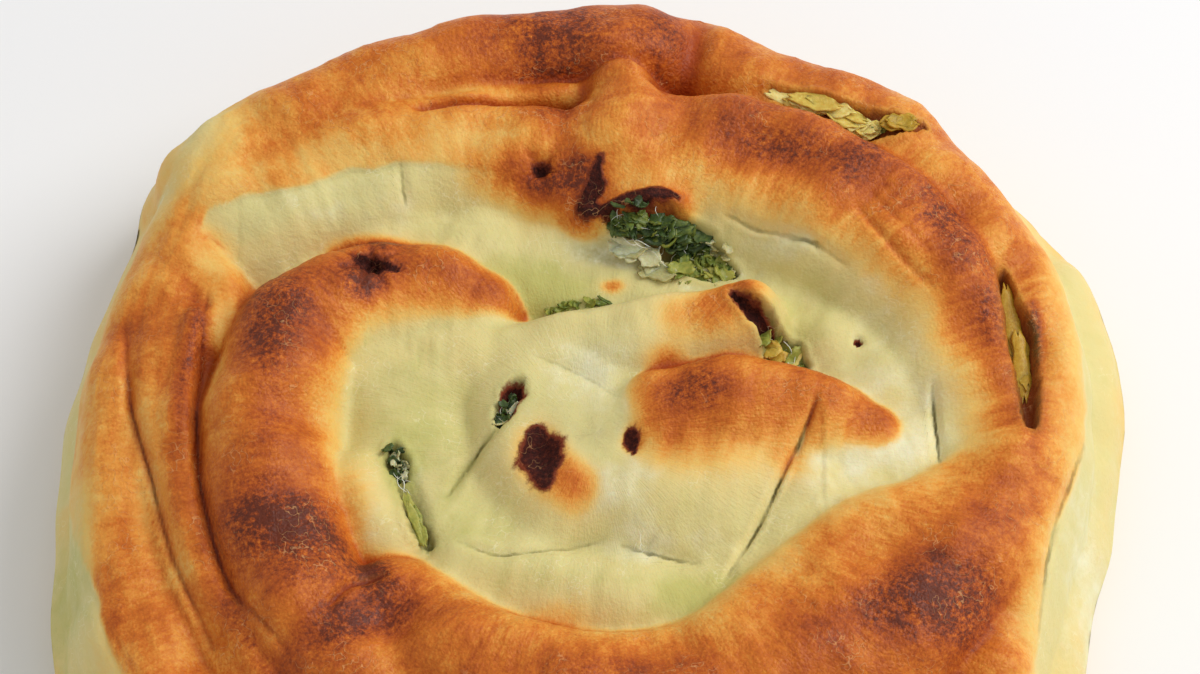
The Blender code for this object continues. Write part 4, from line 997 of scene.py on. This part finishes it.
class Nodes:
    """Short ways to add shader nodes and join them."""

    def __init__(self, name):
        self.material = bpy.data.materials.new(name)
        self.material.use_nodes = True
        self.tree = self.material.node_tree
        self.shader = self.tree.nodes["Principled BSDF"]
        self.place = self.node("TexCoord").outputs["Object"]

    def link(self, source, target):
        self.tree.links.new(source, target)

    def put(self, value, socket):
        """Sets the socket to a number or a colour, or links it to the output of another node."""
        if isinstance(value, bpy.types.NodeSocket):
            self.link(value, socket)
        elif isinstance(value, tuple):
            socket.default_value = (*value, 1)
        else:
            socket.default_value = value

    def node(self, kind, **inputs):
        node = self.tree.nodes.new("ShaderNode" + kind)
        for name, value in inputs.items():
            self.put(value, node.inputs[name])
        return node

    def attribute(self, name):
        node = self.node("Attribute")
        node.attribute_name = name
        return node.outputs["Fac"]

    def noise(self, size_mm, detail=3.0, roughness=0.55, place=None):
        scale = 1 / (size_mm * MM)
        node = self.node("TexNoise", Vector=place or self.place, Scale=scale, Detail=detail, Roughness=roughness)
        return node.outputs["Fac"]

    def cells(self, size_mm):
        """Distance to the border between irregular cells, in cells."""
        node = self.node("TexVoronoi", Vector=self.place, Scale=1 / (size_mm * MM))
        node.feature = "DISTANCE_TO_EDGE"
        return node.outputs["Distance"]

    def threads(self, size_mm):
        """Thin curled lines, in patches."""
        line = self.math("ABSOLUTE", self.minus(self.noise(size_mm, 1.5, 0.5), 0.5), 0)
        patchy = self.span(self.noise(4 * size_mm, 3), 0.5, 0.62)
        return self.times(self.minus(1, self.span(line, 0.004, 0.016)), patchy)

    def around(self, stretch):
        """Place as distance from the middle, drawn out by the factor, and distance round it."""
        x, y, z = self.node("SeparateXYZ", Vector=self.place).outputs
        radius = self.math("SQRT", self.plus(self.times(x, x), self.times(y, y)), 0)
        turn = self.times(self.math("ARCTAN2", y, x), MEAN_RADIUS * MM)
        return self.node("CombineXYZ", X=self.math("DIVIDE", radius, stretch), Y=turn, Z=z).outputs[0]

    def math(self, operation, a, b, clamp=False):
        node = self.node("Math")
        node.operation = operation
        node.use_clamp = clamp
        self.put(a, node.inputs[0])
        self.put(b, node.inputs[1])
        return node.outputs["Value"]

    def times(self, value, *others):
        for other in others:
            value = self.math("MULTIPLY", value, other)
        return value

    def plus(self, value, *others):
        for other in others:
            value = self.math("ADD", value, other)
        return value

    def minus(self, a, b):
        return self.math("SUBTRACT", a, b)

    def swing(self, value, amount):
        """Noise from 0 to 1 turned into a swing of plus or minus the amount."""
        return self.times(self.minus(value, 0.5), 2 * amount)

    def span(self, value, low, high):
        """0 at the low value and 1 at the high one."""
        node = self.node("MapRange", Value=value, **{"From Min": low, "From Max": high})
        node.interpolation_type = "SMOOTHSTEP"
        return node.outputs["Result"]

    def ramp(self, value, stops):
        node = self.node("ValToRGB", Fac=value)
        elements = node.color_ramp.elements
        while len(elements) < len(stops):
            elements.new(0.5)
        for element, (position, color) in zip(elements, stops):
            element.position = position
            element.color = (*color, 1)
        return node.outputs["Color"]

    def mix(self, factor, a, b):
        node = self.node("Mix")
        node.data_type = "RGBA"
        sockets = {socket.identifier: socket for socket in (*node.inputs, *node.outputs)}
        for name, value in (("Factor_Float", factor), ("A_Color", a), ("B_Color", b)):
            self.put(value, sockets[name])
        return sockets["Result_Color"]

    def bump(self, height, depth_mm, normal=None):
        node = self.node("Bump", Height=height, Strength=1, Distance=depth_mm * MM)
        if normal:
            self.link(normal, node.inputs["Normal"])
        return node.outputs["Normal"]


def soft_flesh(shader, weight, radius_mm):
    shader.inputs["Subsurface Weight"].default_value = weight
    shader.inputs["Subsurface Radius"].default_value = (1, 0.55, 0.25)
    shader.inputs["Subsurface Scale"].default_value = radius_mm * MM


# Colours of the dough from pale over orange to dark brown, of char, and of onion seen through moist dough.
BAKED_COLORS = [
    (0.0, (0.68, 0.60, 0.26)), (0.14, (0.74, 0.595, 0.24)), (0.28, (0.80, 0.50, 0.13)),
    (0.43, (0.76, 0.31, 0.048)), (0.58, (0.61, 0.165, 0.017)), (0.74, (0.42, 0.085, 0.010)),
    (0.88, (0.25, 0.046, 0.010)), (1.0, (0.12, 0.024, 0.010))]
CHAR_COLORS = [(0.35, (0.02, 0.003, 0.002)), (0.55, (0.06, 0.008, 0.004)), (0.75, (0.17, 0.035, 0.012))]
MOIST_COLORS = [(0.35, (0.50, 0.46, 0.22)), (0.52, (0.64, 0.61, 0.36)), (0.7, (0.84, 0.82, 0.60))]
MILKY_DOUGH = (0.82, 0.79, 0.55)
GREENISH_DOUGH = (0.46, 0.45, 0.11)
STAINED_DOUGH = (0.28, 0.29, 0.05)
SCORCHED_DOUGH = (0.20, 0.035, 0.010)
# Each of these on pale dough and on brown crust.
# Painted shade in the hollows.
PAINTED_HOLLOW_SHADES = ((0.40, 0.33, 0.09), (0.36, 0.05, 0.005))
# Painted shade at the bottom of the seams.
SEAM_SHADES = ((0.13, 0.10, 0.02), (0.10, 0.015, 0.004))
SEAM_EDGES = ((0.86, 0.74, 0.42), (0.70, 0.28, 0.07))
# Walls of the tears: onion juice stain, darkened with painted shade.
TEAR_WALL_STAIN_AND_SHADE = ((0.20, 0.18, 0.05), (0.26, 0.055, 0.012))
FLOUR_THREADS = ((0.88, 0.82, 0.55), (0.80, 0.42, 0.17))


def baking_tone(n, baked, crust, streaks):
    """How brown the dough is, with mottling and fine streaks that are weaker where it is pale."""
    mottle = n.plus(n.swing(n.noise(7, 4), 0.24), n.swing(n.noise(2.2, 3, 0.6), 0.07))
    fine = n.plus(n.swing(streaks, 0.12), n.swing(n.noise(0.4, 3, 0.7), 0.12))
    speckle = n.times(n.swing(n.noise(0.8, 5, 0.8), 0.6), n.span(baked, 0.62, 0.95))
    uneven = n.times(n.plus(mottle, fine, speckle), n.plus(crust, 0.22))
    return n.math("ADD", baked, uneven, clamp=True)


def tinted(n, color, pale, moist):
    """Pale dough whiter or greener in places, partly painted shade, with onion showing through where it is moist."""
    milky_and_shade = n.plus(n.attribute("milky_and_shade"), n.swing(n.noise(2.6, 4, 0.6), 0.5))
    color = n.mix(n.times(n.span(milky_and_shade, 0.05, 1.1), pale), color, MILKY_DOUGH)
    greener = n.times(n.span(n.times(milky_and_shade, -1), 0, 1), pale)
    color = n.mix(n.times(greener, 0.7), color, GREENISH_DOUGH)
    return n.mix(n.times(moist, 0.85), color, n.ramp(n.noise(1.3, 4, 0.6), MOIST_COLORS))


def shaded(n, color, pale, crust):
    """Painted shade darkening the hollows, and the green stain of onion juice."""
    painted_shade_hollow = n.attribute("painted_shade_hollow")
    color = n.mix(n.times(painted_shade_hollow, pale, 0.25), color, PAINTED_HOLLOW_SHADES[0])
    color = n.mix(n.times(painted_shade_hollow, crust, 0.7), color, PAINTED_HOLLOW_SHADES[1])
    return n.mix(n.times(n.attribute("green"), 0.5), color, STAINED_DOUGH)


def lined(n, color, crust):
    """A painted shade line at the bottom of each sharp seam, fainter in places, between two lighter edges."""
    offset = n.math("ABSOLUTE", n.plus(n.attribute("seam_offset"), n.swing(n.noise(1.2, 2), 0.2)), 0)
    broken = n.plus(n.times(n.span(n.noise(4, 2), 0.4, 0.55), 0.6), 0.4)
    seam = n.times(n.attribute("seam_shade_line"), broken)
    edge = n.minus(n.span(offset, 0.15, 0.35), n.span(offset, 0.4, 0.9))
    color = n.mix(n.times(seam, edge, 0.3), color, n.mix(crust, *SEAM_EDGES))
    line = n.times(seam, n.minus(1, n.span(offset, 0.06, 0.26)))
    return n.mix(n.math("MULTIPLY", line, 0.95, clamp=True), color, n.mix(crust, *SEAM_SHADES))


def torn_and_burnt(n, color, crust, scorched):
    # The walls inside the tears get onion-stained colour darkened with painted shade.
    color = n.mix(n.times(n.attribute("torn"), 0.92), color, n.mix(crust, *TEAR_WALL_STAIN_AND_SHADE))
    color = n.mix(n.span(scorched, 0.1, 0.5), color, SCORCHED_DOUGH)
    return n.mix(n.span(scorched, 0.5, 0.75), color, n.ramp(n.noise(0.5, 4, 0.75), CHAR_COLORS))


def threaded(n, color, threads, pale, crust):
    color = n.mix(n.times(threads, crust, 0.4), color, FLOUR_THREADS[1])
    return n.mix(n.times(threads, pale, 0.3), color, FLOUR_THREADS[0])


def dough_roughness(n, crust, moist, scorched):
    even = n.minus(0.56, n.times(crust, 0.1))
    uneven = n.plus(n.swing(n.noise(2.2, 3), 0.3), even)
    return n.plus(n.minus(uneven, n.times(moist, 0.2)), n.times(n.span(scorched, 0.4, 0.7), 0.3))


def dough_relief(n, crust, streaks, threads, scorched):
    """Grain of the crust, and over it streaks, threads and the flakes of burnt places."""
    grain = n.bump(n.times(n.cells(0.55), crust), 0.12)
    flakes = n.times(n.noise(0.6, 4, 0.75), n.span(scorched, 0.2, 0.6), 2.5)
    fine = n.plus(n.noise(0.45, 3, 0.6), n.times(streaks, 0.8), n.times(threads, crust, 0.5), flakes)
    return n.bump(fine, 0.09, grain)


def dough_material():
    n = Nodes("baked_dough")
    baked = n.attribute("baked")
    crust = n.span(baked, 0.15, 0.55)
    streaks = n.noise(0.5, 3, 0.6, n.around(6))
    tone = baking_tone(n, baked, crust, streaks)
    pale = n.minus(1, n.span(tone, 0.12, 0.34))
    moist = n.span(n.plus(n.attribute("glassy"), n.swing(n.noise(1.1, 4, 0.6), 0.25)), 0.25, 0.9)
    scorched = n.plus(n.attribute("burnt"), n.swing(n.noise(0.6, 4, 0.65), 0.35))
    threads = n.threads(1.5)
    color = tinted(n, n.ramp(tone, BAKED_COLORS), pale, moist)
    color = shaded(n, color, pale, crust)
    color = lined(n, color, crust)
    color = torn_and_burnt(n, color, crust, scorched)
    color = threaded(n, color, threads, pale, crust)
    n.link(color, n.shader.inputs["Base Color"])
    n.link(dough_roughness(n, crust, moist, scorched), n.shader.inputs["Roughness"])
    n.link(dough_relief(n, crust, streaks, threads, scorched), n.shader.inputs["Normal"])
    n.shader.inputs["Specular IOR Level"].default_value = 0.2
    soft_flesh(n.shader, 0.2, 1.5)
    return n.material


def onion_material(name, softness, colors):
    n = Nodes(name)
    tone = n.math("ADD", n.attribute("tone"), n.swing(n.noise(0.5, 3), 0.35), clamp=True)
    n.link(n.ramp(tone, colors), n.shader.inputs["Base Color"])
    n.link(n.plus(n.swing(n.noise(0.8, 2), 0.2), 0.36), n.shader.inputs["Roughness"])
    n.link(n.bump(n.noise(0.25, 3), 0.06), n.shader.inputs["Normal"])
    n.shader.inputs["Specular IOR Level"].default_value = 0.3
    soft_flesh(n.shader, softness, 0.6)
    return n.material


def floor_material():
    n = Nodes("pale_floor")
    color = n.mix(n.noise(60, 2), (0.87, 0.87, 0.875), (0.89, 0.89, 0.89))
    n.link(color, n.shader.inputs["Base Color"])
    n.shader.inputs["Roughness"].default_value = 0.7
    return n.material


# Surroundings

# The photograph's view: the camera stands half a metre off, 60 degrees above the table.
CAMERA_DISTANCE = 0.5
CAMERA_ELEVATION = math.radians(60)
CAMERA_AIM = (1.6, 20.0, 15.0)  # in millimetres, from the tables' origin
PIXELS_PER_MM = 8.8
IMAGE_WIDTH = 1200
SENSOR = 36.0

# Soft light from the right and behind, in metres and watts.
KEY_PLACE = (0.58, 0.22, 0.64)
KEY_TARGET = (0, 0, 0.01)
KEY_WIDTH = 0.65
KEY_POWER = 5.4
SURROUNDING_LIGHT = 0.59
FLOOR_HALF = 1.5


def floor():
    bm = bmesh.new()
    bmesh.ops.create_grid(bm, x_segments=2, y_segments=2, size=FLOOR_HALF)
    mesh = mesh_of(bm, "floor")
    mesh.materials.append(floor_material())
    piece = add_object("floor", mesh)


def key_light():
    lamp = bpy.data.lights.new("key", "AREA")
    lamp.shape = "DISK"
    lamp.size = KEY_WIDTH
    lamp.energy = KEY_POWER
    obj = add_object("key", lamp)
    obj.location = KEY_PLACE
    obj.rotation_euler = (Vector(KEY_TARGET) - Vector(KEY_PLACE)).to_track_quat("-Z", "Y").to_euler()


def studio():
    world = bpy.data.worlds.new("studio")
    world.use_nodes = True
    background = world.node_tree.nodes["Background"]
    background.inputs["Color"].default_value = (1, 1, 1, 1)
    background.inputs["Strength"].default_value = SURROUNDING_LIGHT
    bpy.context.scene.world = world
    key_light()
    bpy.context.scene.view_settings.view_transform = "Standard"
    bpy.context.scene.view_settings.look = "None"


def camera(middle):
    data = bpy.data.cameras.new("camera")
    data.sensor_fit = "HORIZONTAL"
    data.sensor_width = SENSOR
    data.lens = SENSOR * PIXELS_PER_MM * CAMERA_DISTANCE / MM / IMAGE_WIDTH
    data.clip_start = 0.01
    obj = add_object("camera", data)
    back = Vector((0, -math.cos(CAMERA_ELEVATION), math.sin(CAMERA_ELEVATION)))
    obj.location = (Vector(CAMERA_AIM) - Vector(middle)) * MM + back * CAMERA_DISTANCE
    obj.rotation_euler = (math.pi / 2 - CAMERA_ELEVATION, 0, 0)
    bpy.context.scene.camera = obj


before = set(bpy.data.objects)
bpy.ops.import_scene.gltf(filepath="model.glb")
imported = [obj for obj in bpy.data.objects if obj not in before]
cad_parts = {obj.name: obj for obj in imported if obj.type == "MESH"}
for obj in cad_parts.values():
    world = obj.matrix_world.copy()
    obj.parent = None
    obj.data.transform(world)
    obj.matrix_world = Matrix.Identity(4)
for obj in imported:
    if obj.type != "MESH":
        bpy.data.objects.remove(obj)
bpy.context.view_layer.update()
middle = dough_skin(dough_material())
filling(middle)
floor()
studio()
camera(middle)
